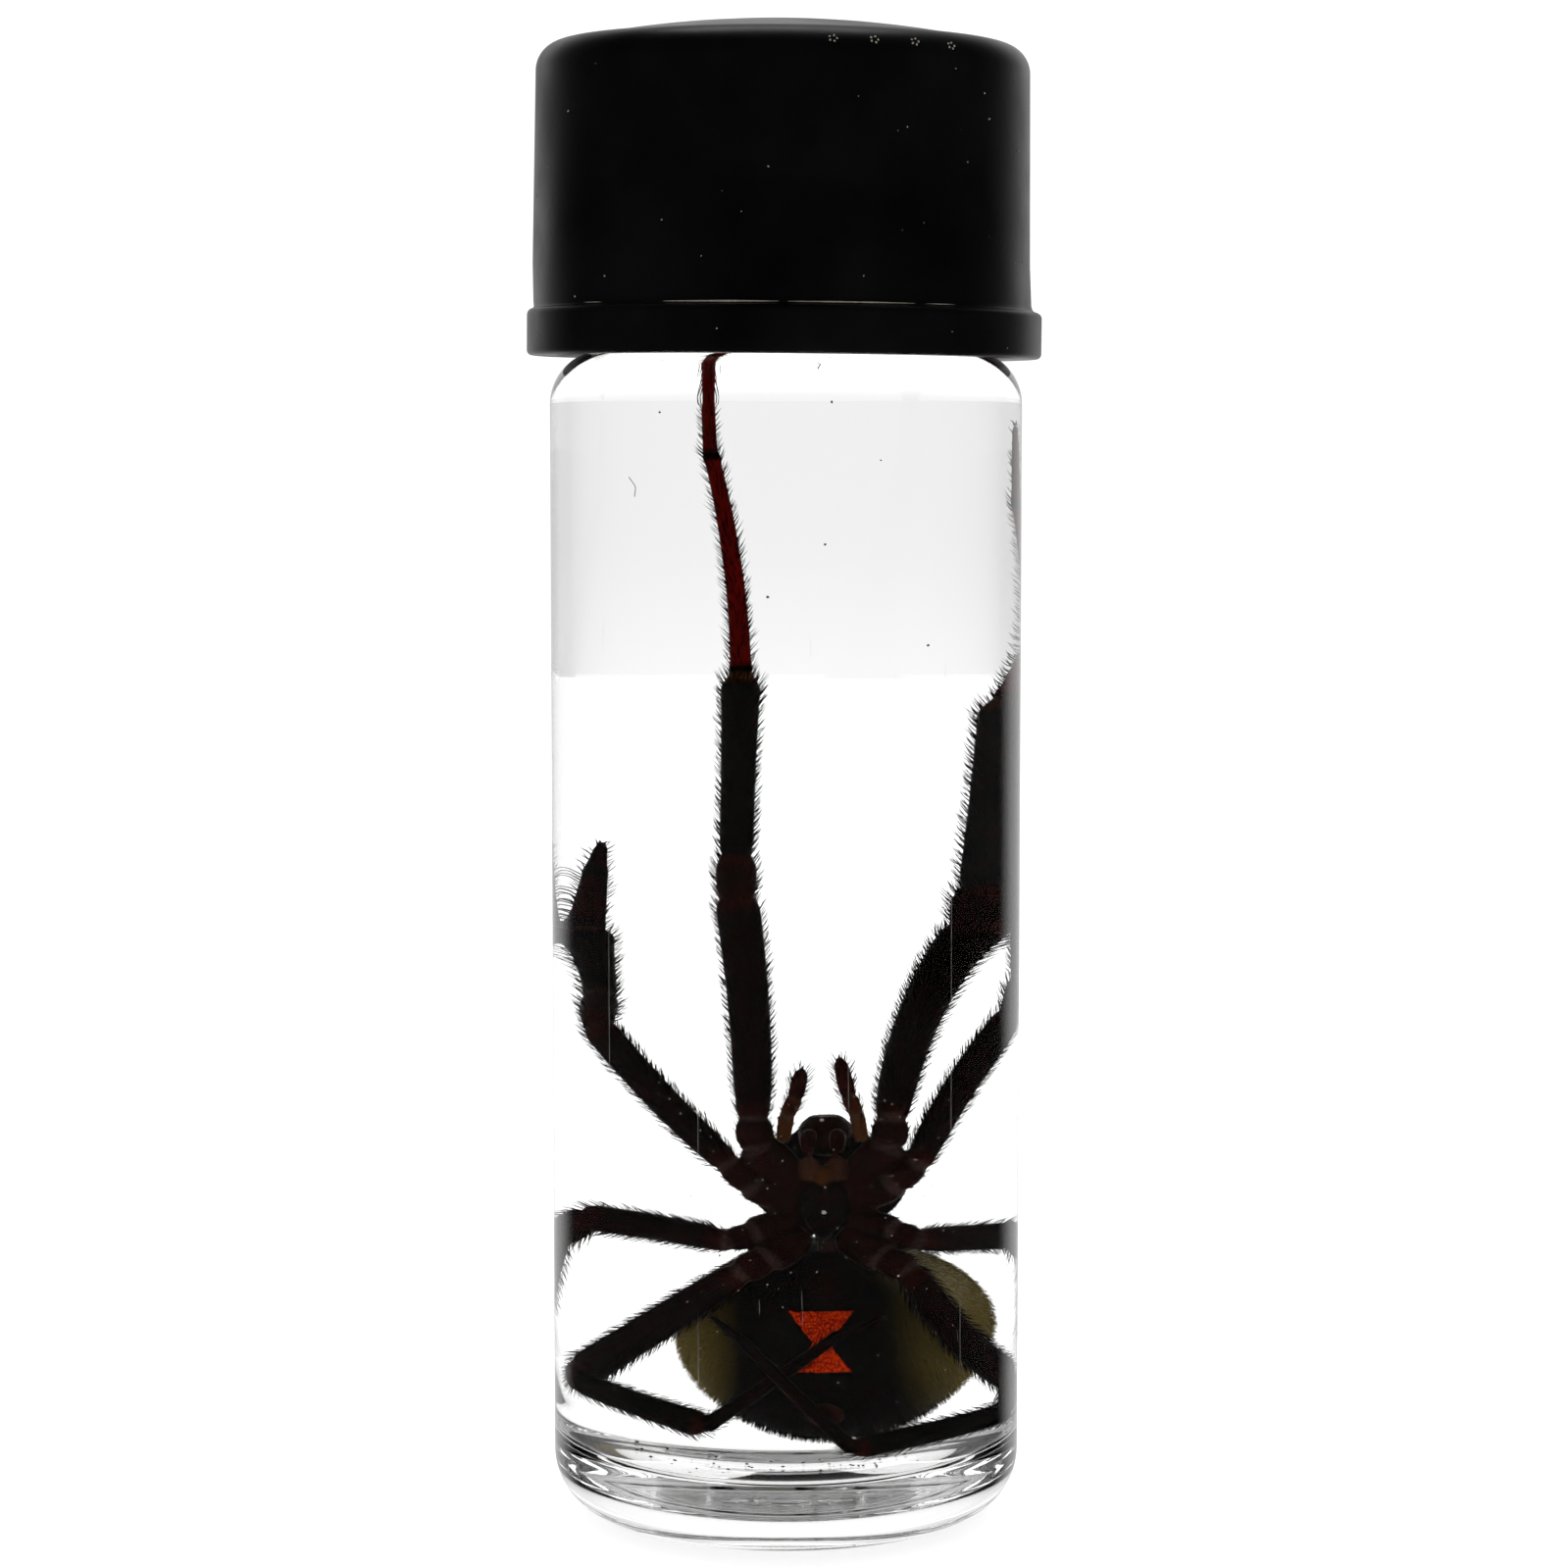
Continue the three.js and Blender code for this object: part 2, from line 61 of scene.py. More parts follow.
# The vial in millimetres, from its node's box and the usual proportions of its kind
VIAL_R = GLASS_HIGH.x
VIAL_TOP = GLASS_HIGH.z
WALL = 1.0
INNER_R = VIAL_R - WALL
BASE_CORNER = 2.0
INNER_CORNER = 1.5
SHOULDER_R = 1.7
SHOULDER_TOP = 37.3
SHOULDER_FOOT = SHOULDER_TOP - SHOULDER_R
NECK_R = 5.7
BORE_R = 4.3
BORE_FOOT = SHOULDER_TOP + 0.25
LIP_ROUND = 0.35
PUNT = 0.45
PUNT_STEPS = 14
BOWL_EDGE = 2.1
BOWL_MIDDLE = 1.45
BOWL_RADII = (4.5, 3.9, 3.3, 2.7, 2.1, 1.4, 0.7, 0)
GLASS_SIDES = 256
THREAD_LOW, THREAD_PITCH, THREAD_TURNS, THREAD_RISE = 39.6, 2.1, 1.25, 0.6
THREAD_HALF, THREAD_FADE = 0.34, 0.15

# The liquid: its level, how its surface climbs towards the wall, and the film left between it and the glass
LIQUID_TOP = 43.0
MENISCUS = ((0, 0), (1.5, 0), (2.8, 0.01), (3.6, 0.05), (4.0, 0.11))
FILM = 0.012
LIQUID_SIDES = 128

# The cap in millimetres
CAP_FOOT = CAP_LOW.z
CAP_TOP = CAP_HIGH.z
BEAD_R = CAP_HIGH.x
CAP_R_FOOT = 7.89
CAP_R_TOP = 7.8
BEAD_TOP = 38.55
CAP_ROUND = 0.9
CAP_CROWN = 0.7
ROUNDING_FOOT = CAP_TOP - CAP_CROWN - CAP_ROUND
CROWN_R = 6.7
CAP_BORE_R = 6.75
CAP_CEILING = 46.0
CAP_MIDDLE, CAP_LEAN = 42.0, 0.0085
CAP_SIDES = 192

# The spider in millimetres. Right and left are the spider's own, so its right legs are at -X.
MID_X = 0.9
CARAPACE = ((0.97, 0.84, 11.05), (1.87, 0.53, 1.87))
STERNUM = ((MID_X, -0.22, 10.25), (0.7, 0.78, 1.12))
HEAD = ((MID_X + 0.02, 0.35, 12.45), (0.64, 0.72, 0.7))
ABDOMEN = ((1.03, 1.5, 5.7), (3.38, 3.33, 3.18))
SPINNERETS, SPINNERETS_LIE = (0.98, -1.66, 3.78), (0, -0.8, -0.6)
LEG_PARTS = ("coxa", "trochanter", "femur", "patella", "tibia", "metatarsus", "tarsus")
LEG_JOINTS = {
    "leg_1_right": ((0.3, -0.15, 10.9), (-0.72, -0.6, 12.2), (-0.79, -0.6, 13.05), (-1.13, 0.9, 19.95),
                    (-1.12, 1.2, 21.25), (-0.96, 2.5, 27.0), (-1.6, 2.7, 34.1), (-1.7, 2.45, 36.8)),
    "leg_1_left": ((1.5, -0.15, 10.9), (2.5, -0.6, 12.2), (2.55, -0.6, 13.0), (3.58, 4.1, 18.65),
                   (3.66, 4.2, 19.9), (4.1, 3.95, 26.05), (5.06, 1.95, 32.6), (4.98, 2.0, 34.9)),
    "leg_2_right": ((0.25, -0.15, 10.3), (-0.85, -0.6, 10.95), (-1.38, -0.6, 11.6), (-4.38, 0.9, 15.75),
                    (-3.9, 2.4, 16.55), (-3.62, 4.3, 18.5), (-3.45, 4.55, 20.55), (-3.3, 4.9, 21.3)),
    "leg_2_left": ((1.55, -0.15, 10.3), (2.65, -0.6, 10.95), (3.2, -0.6, 11.5), (5.1, 1.7, 15.95),
                   (5.42, 1.65, 17.1), (5.72, 0.9, 19.9), (5.88, -0.3, 24.3), (5.85, -0.9, 25.9)),
    "leg_3_right": ((0.25, -0.2, 9.8), (-0.8, -0.6, 9.4), (-1.38, -0.6, 9.1), (-4.3, 1.95, 9.35),
                    (-4.9, 2.3, 8.5), (-5.2, 2.7, 5.9), (-5.0, 2.95, 3.55), (-4.5, 3.3, 2.85)),
    "leg_3_left": ((1.55, -0.2, 9.8), (2.6, -0.6, 9.4), (3.2, -0.6, 9.1), (5.05, 1.95, 8.62),
                   (5.25, 2.5, 7.8), (5.2, 2.75, 5.2), (4.95, 3.05, 3.5), (4.4, 3.4, 2.85)),
    "leg_4_right": ((0.4, -0.35, 9.3), (-0.5, -0.95, 8.6), (-1.12, -1.08, 8.2), (-4.75, 0.85, 4.45),
                    (-5.25, -0.1, 4.3), (-2.03, -1.6, 3.33), (1.35, -2.85, 6.45), (2.5, -2.7, 6.95)),
    "leg_4_left": ((1.4, -0.35, 9.3), (2.42, -0.98, 8.6), (3.1, -1.25, 8.22), (5.6, 0.55, 4.2),
                   (5.68, 0.3, 3.17), (1.76, -2.42, 2.7), (-1.18, -3.9, 6.45), (-1.98, -3.9, 7.15)),
}
# How far a length's middle is drawn aside, where it isn't straight
LEG_BOWS = {
    ("leg_1_right", "femur"): (0.18, 0, 0), ("leg_1_right", "metatarsus"): (0.28, 0, 0),
    ("leg_1_left", "femur"): (-0.38, 0, 0), ("leg_1_left", "metatarsus"): (0.6, 0, 0),
    ("leg_2_right", "femur"): (-0.2, 0, -0.1), ("leg_2_left", "femur"): (-0.25, 0, 0),
    ("leg_3_right", "femur"): (-0.1, 0, 0.18), ("leg_3_left", "femur"): (0.1, 0, 0.1),
    ("leg_4_right", "femur"): (-0.1, 0, 0.1), ("leg_4_left", "femur"): (0, -1.5, -0.2),
}
PALP_JOINTS = {
    "pedipalp_right": ((-0.08, -1.23, 12.42), (0.02, -1.4, 13.3), (0.23, -1.4, 13.8), (0.4, -1.3, 14.75)),
    "pedipalp_left": ((1.88, -1.23, 12.42), (1.76, -1.4, 13.3), (1.56, -1.4, 13.85), (1.31, -1.3, 15.1)),
}
# Radii of a leg's lengths at their start and end, and how full each is at places along it
LEG_RADII = {
    "coxa": (0.48, 0.56), "trochanter": (0.45, 0.43), "femur": (0.44, 0.5), "patella": (0.45, 0.43),
    "tibia": (0.39, 0.4), "metatarsus": (0.235, 0.19), "tarsus": (0.15, 0.11),
}
FULLNESS = {
    "coxa": ((0, 0.75), (0.2, 1.0), (0.6, 1.03), (0.9, 0.96), (1, 0.78)),
    "trochanter": ((0, 0.82), (0.3, 1.0), (0.7, 1.0), (1, 0.8)),
    "femur": ((0, 0.72), (0.05, 0.9), (0.2, 1.0), (0.6, 1.0), (0.9, 0.99), (0.96, 0.98), (1, 0.78)),
    "patella": ((0, 0.82), (0.2, 0.98), (0.75, 1.03), (1, 0.82)),
    "tibia": ((0, 0.8), (0.08, 0.95), (0.4, 0.93), (0.8, 0.98), (0.93, 1.04), (0.955, 0.9), (0.985, 0.74),
              (1, 0.6)),
    "metatarsus": ((0, 1.0), (0.03, 1.12), (0.06, 1.0), (0.5, 0.96), (0.93, 0.9), (0.965, 1.05), (1, 0.85)),
    "tarsus": ((0, 1.1), (0.1, 1.0), (0.6, 0.95), (0.93, 0.8), (1, 0.45)),
}
PAIR_SHARE = {"1": 1.05, "2": 0.9, "3": 0.88, "4": 1.02}
RING_EVERY = 0.12
PALP_RADII = (0.19, 0.2, 0.21, 0.11)
# The bent last joint of the right first leg, from where its tarsus ends in the neck, and the whole tarsus's
# radii at shares of its length
NECK_TIP = ((-1.68, 2.47, 35.75), (-1.62, 2.45, 35.95), (-1.36, 2.4, 36.1), (-1.5, 2.38, 36.35),
            (-1.76, 2.35, 36.5))
NECK_TIP_RADII = ((0, 0.17), (0.1, 0.16), (0.5, 0.155), (0.66, 0.12), (0.8, 0.07), (1, 0.05))
# The eyes in pairs: how far from the middle, how high, and how big
EYES = ((0.1, 12.62, 0.055), (0.27, 12.6, 0.05), (0.12, 12.9, 0.06), (0.36, 12.82, 0.05))
# The red mark: its heights, its middle and how far its foot lies aside, half its width at each height, and
# the depths between which it lies on the skin
MARK = {"top": 7.0, "waist": 6.05, "foot": 5.1, "middle": 0.87, "shift": 0.1, "top_half": 0.82,
        "waist_half": 0.2, "foot_half": 0.68, "front": -2.15, "back": -1.3, "wobble": 0.12}

# What each point of the skin carries: shares of pale membrane, rust brown shell, amber, olive (painted rim
# light on the abdomen and its down), dark red and cream (a painted backlit glow), then its hair's length, its
# hair's direction and its place on the unwrap
TINTS = ("pale", "rust", "amber", "olive", "red", "cream")
HAIR, LIE, PLACE, CARRIED = 6, slice(7, 10), slice(10, 12), 12
TINT_OF_PART = {
    "coxa": {"rust": 0.3}, "trochanter": {"rust": 0.4}, "femur": {"rust": 0.12}, "patella": {"rust": 0.3},
    "tibia": {}, "metatarsus": {}, "tarsus": {"rust": 0.6},
}
PALP_TINTS = {"femur": {"rust": 0.9, "amber": 0.3}, "patella": {"rust": 1.0, "amber": 0.1},
              "tarsus": {"rust": 0.8}}
# How red the metatarsi and tarsi of each pair are
REDNESS = {"1": 1.0, "2": 0.1, "3": 0.12, "4": 0.02}
# Each length's share of the full hair length
LEG_HAIR = {"coxa": 0.3, "trochanter": 0.4, "patella": 1.1, "metatarsus": 0.8, "tarsus": 0.6}
PALP_HAIR = {"femur": 0.3, "patella": 0.8, "tarsus": 1.0}
# Hairs to the square millimetre, and their width
BRISTLES_PER_MM2, BRISTLE_WIDTH = 48.0, 0.027
DOWN_PER_MM2, DOWN_WIDTH = 90.0, 0.016
BRISTLE_SEED, DOWN_SEEDS, WEAR_SEED = 11, (12, 13), 21

# Scratches down the glass: angle, top, foot and width
SCRATCHES = (
    (-46.9, 22.1, 12.3, 0.013), (42.8, 24.5, 12.4, 0.011), (-21.1, 14.75, 11.1, 0.012),
    (-21.1, 7.76, 4.7, 0.015), (-6.3, 8.3, 7.86, 0.015), (14.6, 15.85, 14.0, 0.01), (46.2, 9.1, 5.5, 0.011),
    (-33.0, 26.0, 24.2, 0.009), (30.0, 20.5, 18.6, 0.008),
)
# Loose fibres in the liquid: the places they pass and their radius
FIBRES = (
    (((-4.9, -1.0, 36.4), (-4.8, -1.2, 36.9), (-4.4, -1.4, 37.1), (-4.1, -1.5, 36.8), (-4.3, -1.5, 36.4),
      (-4.7, -1.4, 36.2)), 0.012),
    (((0.8, -1.8, 35.9), (0.95, -1.9, 36.1), (1.1, -2.0, 36.15), (1.2, -2.0, 36.3)), 0.014),
    (((-3.9, -1.0, 33.3), (-3.75, -1.2, 33.0), (-3.8, -1.3, 32.7)), 0.01),
)
# Dark grains that hang in the upper liquid
FLOATING = ((1.15, -2.0, 35.6), (-2.9, 0.6, 35.3), (2.1, 1.5, 33.8), (0.9, 0.4, 31.2), (-0.4, 2.0, 29.5),
            (3.3, 0.5, 28.0))
# Single pale grains on the spider: the place and size of each. The first two, on the breast plate and the head,
# are painted glints that stand for highlights; the other two are dust.
GLINTS_AND_MOTES = (((0.93, -1.06, 10.12), 0.06), ((0.86, -0.42, 13.0), 0.045), ((-1.7, -2.2, 8.9), 0.035),
         ((2.9, -2.1, 8.2), 0.03))
# Grey lines in the crease over the cap's bead, a painted highlight that stands for the crease's reflection of
# the
# light above: start, end and radius. Pale marks at its upper edge: angle and height.
CAP_CREASE_HIGHLIGHT = ((-27.0, -1.0, 0.035), (1.0, 30.0, 0.028), (33.0, 41.0, 0.015), (-50.0, -44.0, 0.012))
CAP_MARKS = ((11.2, 46.42), (20.8, 46.43), (31.0, 46.43), (41.2, 46.39))
# How many more of each are strewn at random, and the box before the spider that the motes keep to
SMALL_SCRATCHES, STREWN_MOTES, STREWN_SILT, STREWN_DUST = 14, 110, 60, 35
MOTES_BOX = ((-3.6, 4.6), (-2.9, -2.2), (4.2, 15.0))

# The studio. Each kind of ray meets the backdrop at a brightness that depends on where it points: from and
# to along an axis, then the brightness at each.
FLOOR_R, FLOOR_SIDES, FLOOR_GLOW = 0.45, 96, 0.75
LIT = (-0.4, 0.7, 0.3, 1.15)
MIRRORED = (0.6, 0.85, 0.0, 0.8)
INSIDE = (-0.2, 0.5, 0.15, 1.0)
BEHIND = (0.2, 0.8, 0.42)
# Painted shade: a band of the backdrop just under the horizon, where the floor meets it, dimmed only for rays
# that passed through glass: its rising and falling edges, each as from, to and the shares there, and its depth
HORIZON_SHADE_RISE, HORIZON_SHADE_FALL, HORIZON_SHADE = (-0.1, -0.012, 0.0, 1.0), (-0.01, 0.012, 1.0, 0.0), 0.16
BOUNCES, GLOSSY_BOUNCES = 32, 24
# The lamp over the vial in metres and watts
LAMP_PLACE, LAMP_AIM, LAMP_SIDES, LAMP_POWER = (0.0, 0.05, 0.2), (0, 0.01, 0.04), (0.12, 0.08), 0.06


# Settings

class StudioSettings(bpy.types.PropertyGroup):
    floor_colour: bpy.props.FloatVectorProperty(
        name="Floor", description="Colour of the pale floor", subtype="COLOR", size=3,
        default=(0.9, 0.9, 0.9), min=0, max=1)
    backdrop: bpy.props.FloatProperty(
        name="Backdrop", description="Brightness of the white backdrop", default=1.12, min=0)
    eye_height: bpy.props.FloatProperty(
        name="Camera height", description="Height of the camera over the floor", default=0.0348,
        unit="LENGTH")
    eye_distance: bpy.props.FloatProperty(
        name="Camera distance", description="Distance of the camera from the vial's axis", default=0.132,
        unit="LENGTH")
    eye_tilt: bpy.props.FloatProperty(
        name="Camera tilt", description="How far the camera looks down", default=math.radians(4.9),
        subtype="ANGLE")
    eye_lens: bpy.props.FloatProperty(
        name="Lens", description="Focal length in millimetres", default=94.9, min=1)


class VialSettings(bpy.types.PropertyGroup):
    glass_ior: bpy.props.FloatProperty(
        name="Glass", description="Refractive index of the borosilicate glass", default=1.5, min=1)
    liquid_ior: bpy.props.FloatProperty(
        name="Liquid", description="Refractive index of the preserving liquid", default=1.36, min=1)
    cap_roughness: bpy.props.FloatProperty(
        name="Cap gloss", description="Roughness of the cap's plastic", default=0.36, min=0, max=1,
        subtype="FACTOR")


class SpiderSettings(bpy.types.PropertyGroup):
    seta_length: bpy.props.FloatProperty(
        name="Leg hair", description="Length of the legs' bristles", default=0.00038, unit="LENGTH",
        precision=6)
    fuzz_length: bpy.props.FloatProperty(
        name="Body hair", description="Length of the abdomen's hair", default=0.0002, unit="LENGTH",
        precision=6)
    skin_grain: bpy.props.FloatProperty(
        name="Skin mesh", description="Size of the skin's faces", default=0.00006, unit="LENGTH",
        precision=6)


# Materials

def linear(code):
    """An sRGB hex value as linear red, green, blue and alpha."""
    channels = [int(code[i:i + 2], 16) / 255 for i in (1, 3, 5)]
    return tuple(c / 12.92 if c <= 0.04045 else ((c + 0.055) / 1.055) ** 2.4 for c in channels) + (1.0,)


def add_node(tree, kind, inputs=None, **settings):
    """A shader node with its settings and inputs, each a constant or the socket that is linked in."""
    node = tree.nodes.new("ShaderNode" + kind)
    for name, value in settings.items():
        setattr(node, name, value)
    for name, value in (inputs or {}).items():
        if isinstance(value, bpy.types.NodeSocket):
            tree.links.new(value, node.inputs[name])
        else:
            node.inputs[name].default_value = value
    return node


def new_material(name):
    material = bpy.data.materials.new(name)
    material.use_nodes = True
    material.node_tree.nodes.clear()
    return material, material.node_tree


def surfaced(material, inputs):
    """The material with one principled shader as its surface."""
    shader = add_node(material.node_tree, "BsdfPrincipled", inputs)
    add_node(material.node_tree, "OutputMaterial", {"Surface": shader.outputs[0]})
    return material


def object_place(tree):
    return add_node(tree, "TexCoord").outputs["Object"]


def world_place(tree):
    return add_node(tree, "NewGeometry").outputs["Position"]


def noise(tree, place, scale, detail):
    return add_node(tree, "TexNoise", {"Vector": place, "Scale": scale, "Detail": detail}).outputs["Fac"]


def cells(tree, place, scale):
    return add_node(tree, "TexVoronoi", {"Vector": place, "Scale": scale}).outputs["Distance"]


def relief(tree, height, strength, distance):
    """A surface direction moved by a height, its full height given in millimetres."""
    bump = add_node(tree, "Bump", {"Height": height, "Strength": strength, "Distance": distance * MM})
    return bump.outputs["Normal"]


def ramp(tree, factor, *stops):
    """A colour picked by a factor from stops, each a place and an sRGB hex value."""
    node = add_node(tree, "ValToRGB", {"Fac": factor})
    elements = node.color_ramp.elements
    elements.remove(elements[-1])
    elements[0].position, elements[0].color = stops[0][0], linear(stops[0][1])
    for place, code in stops[1:]:
        elements.new(place).color = linear(code)
    return node.outputs["Color"]


def remap(tree, value, low, high, at_low, at_high, **settings):
    """A number carried from one range to another and held at its ends."""
    node = add_node(tree, "MapRange", {
        "Value": value, "From Min": low, "From Max": high, "To Min": at_low, "To Max": at_high}, **settings)
    return node.outputs["Result"]


def mix_colours(tree, factor, first, second):
    return add_node(tree, "Mix", {0: factor, 6: first, 7: second}, data_type="RGBA").outputs[2]


def mix_numbers(tree, factor, first, second):
    return add_node(tree, "Mix", {0: factor, 2: first, 3: second}, data_type="FLOAT").outputs[0]


def compute(tree, operation, *numbers):
    """A sum on numbers, each a socket or a constant."""
    return add_node(tree, "Math", dict(enumerate(numbers)), operation=operation).outputs[0]


def product(tree, first, *others):
    for other in others:
        first = compute(tree, "MULTIPLY", first, other)
    return first


CLEAR = {"Base Color": (1.0, 1.0, 1.0, 1.0), "Roughness": 0.0, "Transmission Weight": 1.0}


def clear_glass(name, ior):
    """Borosilicate tube glass, flame-worked: clear, with faint draw lines that give its edges life."""
    material, tree = new_material(name)
    drawn = add_node(tree, "Mapping", {"Vector": object_place(tree), "Scale": (1.0, 1.0, 0.04)})
    lines = noise(tree, drawn.outputs["Vector"], 900.0, 2.0)
    return surfaced(material, {**CLEAR, "IOR": ior, "Normal": relief(tree, lines, 0.06, 0.02)})


def clear_liquid(name, ior):
    """Preserving alcohol: clear and colourless. Against the glass it only passes light on."""
    material, _ = new_material(name)
    return surfaced(material, {**CLEAR, "IOR": ior})


def moulded_plastic(roughness):
    """Black phenolic resin, compression-moulded: deep black, satin, fine-grained and a little worn."""
    material, tree = new_material("moulded_black_plastic")
    place = object_place(tree)
    cloud = noise(tree, place, 260.0, 5.0)
    return surfaced(material, {
        "IOR": 1.5, "Specular IOR Level": 0.45,
        "Base Color": ramp(tree, cloud, (0.35, "#050506"), (0.7, "#0c0c0d")),
        "Roughness": remap(tree, cloud, 0.3, 0.7, roughness - 0.06, roughness + 0.1),
        "Normal": relief(tree, noise(tree, place, 5000.0, 3.0), 0.12, 0.03)})


def foam_liner():
    """Expanded polyethylene disc, die-cut: off-white, matt, with fine closed cells."""
    material, tree = new_material("foam_liner")
    pores = cells(tree, object_place(tree), 5000.0)
    return surfaced(material, {
        "Roughness": 0.8, "IOR": 1.5, "Base Color": ramp(tree, pores, (0.0, "#e4e1d6"), (1.0, "#c9c5b7")),
        "Normal": relief(tree, pores, 0.3, 0.04)})


def carried_shares(tree):
    """The skin's tint shares as sockets, read back from its two colour layers."""
    shares = {}
    for layer, names in (("tints_near", TINTS[:3]), ("tints_far", TINTS[3:])):
        held = add_node(tree, "Attribute", attribute_name=layer)
        split = add_node(tree, "SeparateColor", {"Color": held.outputs["Color"]})
        for channel, name in zip(("Red", "Green", "Blue"), names):
            shares[name] = split.outputs[channel]
    return shares


def spider_cuticle():
    """Chitin in alcohol: blackish brown shell, wet-matt because the liquid takes most of its gloss."""
    material, tree = new_material("spider_cuticle")
    place = world_place(tree)
    shares = carried_shares(tree)
    cloud, fine = noise(tree, place, 2500.0, 4.0), noise(tree, place, 11000.0, 3.0)
    colour = ramp(tree, cloud, (0.35, "#010101"), (0.56, "#050202"), (0.7, "#1a0704"))
    # The olive and cream tints are painted rim light and a painted backlit glow on the abdomen; the others are
    # the shell's own colours
    for name, patches, dark, light in (
            ("olive", fine, "#3c3214", "#8c7a3e"), ("cream", fine, "#938762", "#c4b88e"),
            ("rust", cloud, "#0c0302", "#42120a"), ("amber", cloud, "#3c2209", "#7a5426"),
            ("red", cloud, "#3c0301", "#6a0c05"), ("pale", fine, "#261b19", "#5c4a45")):
        tint = mix_colours(tree, patches, linear(dark), linear(light))
        colour = mix_colours(tree, shares[name], colour, tint)
    mark, mark_colour = hourglass_mark(tree, place)
    return surfaced(material, {
        "Roughness": 0.34, "IOR": 1.16, "Specular IOR Level": 0.07,
        "Base Color": mix_colours(tree, mark, colour, mark_colour),
        "Normal": relief(tree, noise(tree, place, 14000.0, 2.0), 0.35, 0.02)})


def hourglass_mark(tree, place):
    """Where the red hourglass lies on the abdomen's front, and its speckled orange-red colour."""
    size = {name: value * MM for name, value in MARK.items()}
    x, y, z = add_node(tree, "SeparateXYZ", {"Vector": place}).outputs
    edge = compute(tree, "SUBTRACT", noise(tree, place, 9000.0, 2.0), 0.5)
    wobble = product(tree, edge, size["wobble"])
    upper = remap(tree, z, size["waist"], size["top"], size["waist_half"], size["top_half"])
    lower = remap(tree, z, size["waist"], size["foot"], 0.0, size["foot_half"] - size["waist_half"])
    middle = remap(tree, z, size["waist"], size["foot"], size["middle"], size["middle"] + size["shift"])
    half = compute(tree, "ADD", compute(tree, "ADD", upper, lower), wobble)
    aside = compute(tree, "ABSOLUTE", compute(tree, "SUBTRACT", x, middle))
    height = compute(tree, "ADD", z, wobble)
    mark = product(
        tree, compute(tree, "LESS_THAN", aside, half), compute(tree, "LESS_THAN", height, size["top"]),
        compute(tree, "GREATER_THAN", height, size["foot"]), compute(tree, "LESS_THAN", y, size["back"]),
        compute(tree, "GREATER_THAN", y, size["front"]))
    speckle = cells(tree, place, 16000.0)
    return mark, ramp(tree, speckle, (0.05, "#ff8a28"), (0.22, "#f84a0a"), (0.5, "#e02c05"), (0.8, "#8c1604"))


def bristle_material(name, dark, light):
    """Hollow chitin bristles: dark and fine, a little lighter where light comes through their tips."""
    material, tree = new_material(name)
    shade = add_node(tree, "Attribute", attribute_name="tone").outputs["Fac"]
    return surfaced(material, {"Roughness": 0.6, "IOR": 1.14, "Specular IOR Level": 0.12,
                             "Base Color": mix_colours(tree, shade, linear(dark), linear(light))})


def mottled(name, dark, light, scale, roughness, ior):
    """A finish mottled between two colours, its patches sized by the scale: horn, dust or scratched glass."""
    material, tree = new_material(name)
    patches = noise(tree, world_place(tree), scale, 3.0)
    return surfaced(material, {"Roughness": roughness, "IOR": ior,
                             "Base Color": mix_colours(tree, patches, linear(dark), linear(light))})


# Shapes

def make_piece(name, points, faces, materials, slots=None):
    """A smooth mesh object from points in millimetres, riding on the one body."""
    mesh = bpy.data.meshes.new(name)
    mesh.from_pydata((np.asarray(points, float) * MM).tolist(), [], faces)
    mesh.validate()
    for material in materials:
        mesh.materials.append(material)
    if slots is not None:
        mesh.polygons.foreach_set("material_index", np.asarray(slots, np.int32))
    mesh.polygons.foreach_set("use_smooth", [True] * len(mesh.polygons))
    mesh.update()
    piece = bpy.data.objects.new(name, mesh)
    bpy.context.scene.collection.objects.link(piece)
    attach(piece, "root")
    return piece


def ring_faces(rings, sides):
    """The faces between neighbouring rings of points."""
    faces = []
    for low in range(0, (rings - 1) * sides, sides):
        high = low + sides
        faces += [(low + i, low + (i + 1) % sides, high + (i + 1) % sides, high + i) for i in range(sides)]
    return faces


def closed_faces(rings, sides):
    """The faces of rings of points that one more point closes at each end."""
    faces = ring_faces(rings, sides)
    first, last, top = rings * sides, rings * sides + 1, (rings - 1) * sides
    for i in range(sides):
        j = (i + 1) % sides
        faces += [(j, i, first), (top + i, top + j, last)]
    return faces


def lathe(profile, sides, swell=None):
    """Points, faces and each face's row, of a profile of (radius, height) pairs turned about +Z."""
    inner = np.array(profile[1:-1], float)
    radii, heights = (np.repeat(inner[:, k:k + 1], sides, 1) for k in (0, 1))
    angles = np.arange(sides) / sides * TURN
    if swell:
        radii = swell(radii, heights, angles)
    rings = np.stack([radii * np.cos(angles), radii * np.sin(angles), heights], -1).reshape(-1, 3)
    rows = [ring + 1 for ring in range(len(inner) - 1) for _ in range(sides)] + [0, len(inner)] * sides
    points = np.vstack([rings, [[0, 0, profile[0][1]], [0, 0, profile[-1][1]]]])
    return points, closed_faces(len(inner), sides), rows


def arc(centre_r, centre_z, radius, start, end, steps):
    """Points of an arc in the lathe's half plane, in quarter turns from +radius towards +height."""
    angles = [(start + (end - start) * i / steps) * TURN / 4 for i in range(steps + 1)]
    return [(centre_r + radius * math.cos(a), centre_z + radius * math.sin(a)) for a in angles]


def stretch(start, end, steps):
    """Points between two, without the first."""
    start, end = np.array(start), np.array(end)
    return [tuple(start + (end - start) * (i + 1) / steps) for i in range(steps)]


def unit_rows(vectors):
    return vectors / np.maximum(np.linalg.norm(vectors, axis=1), 1e-9)[:, None]


def smooth_step(value, low, high):
    t = np.clip((value - low) / (high - low), 0, 1)
    return t * t * (3 - 2 * t)


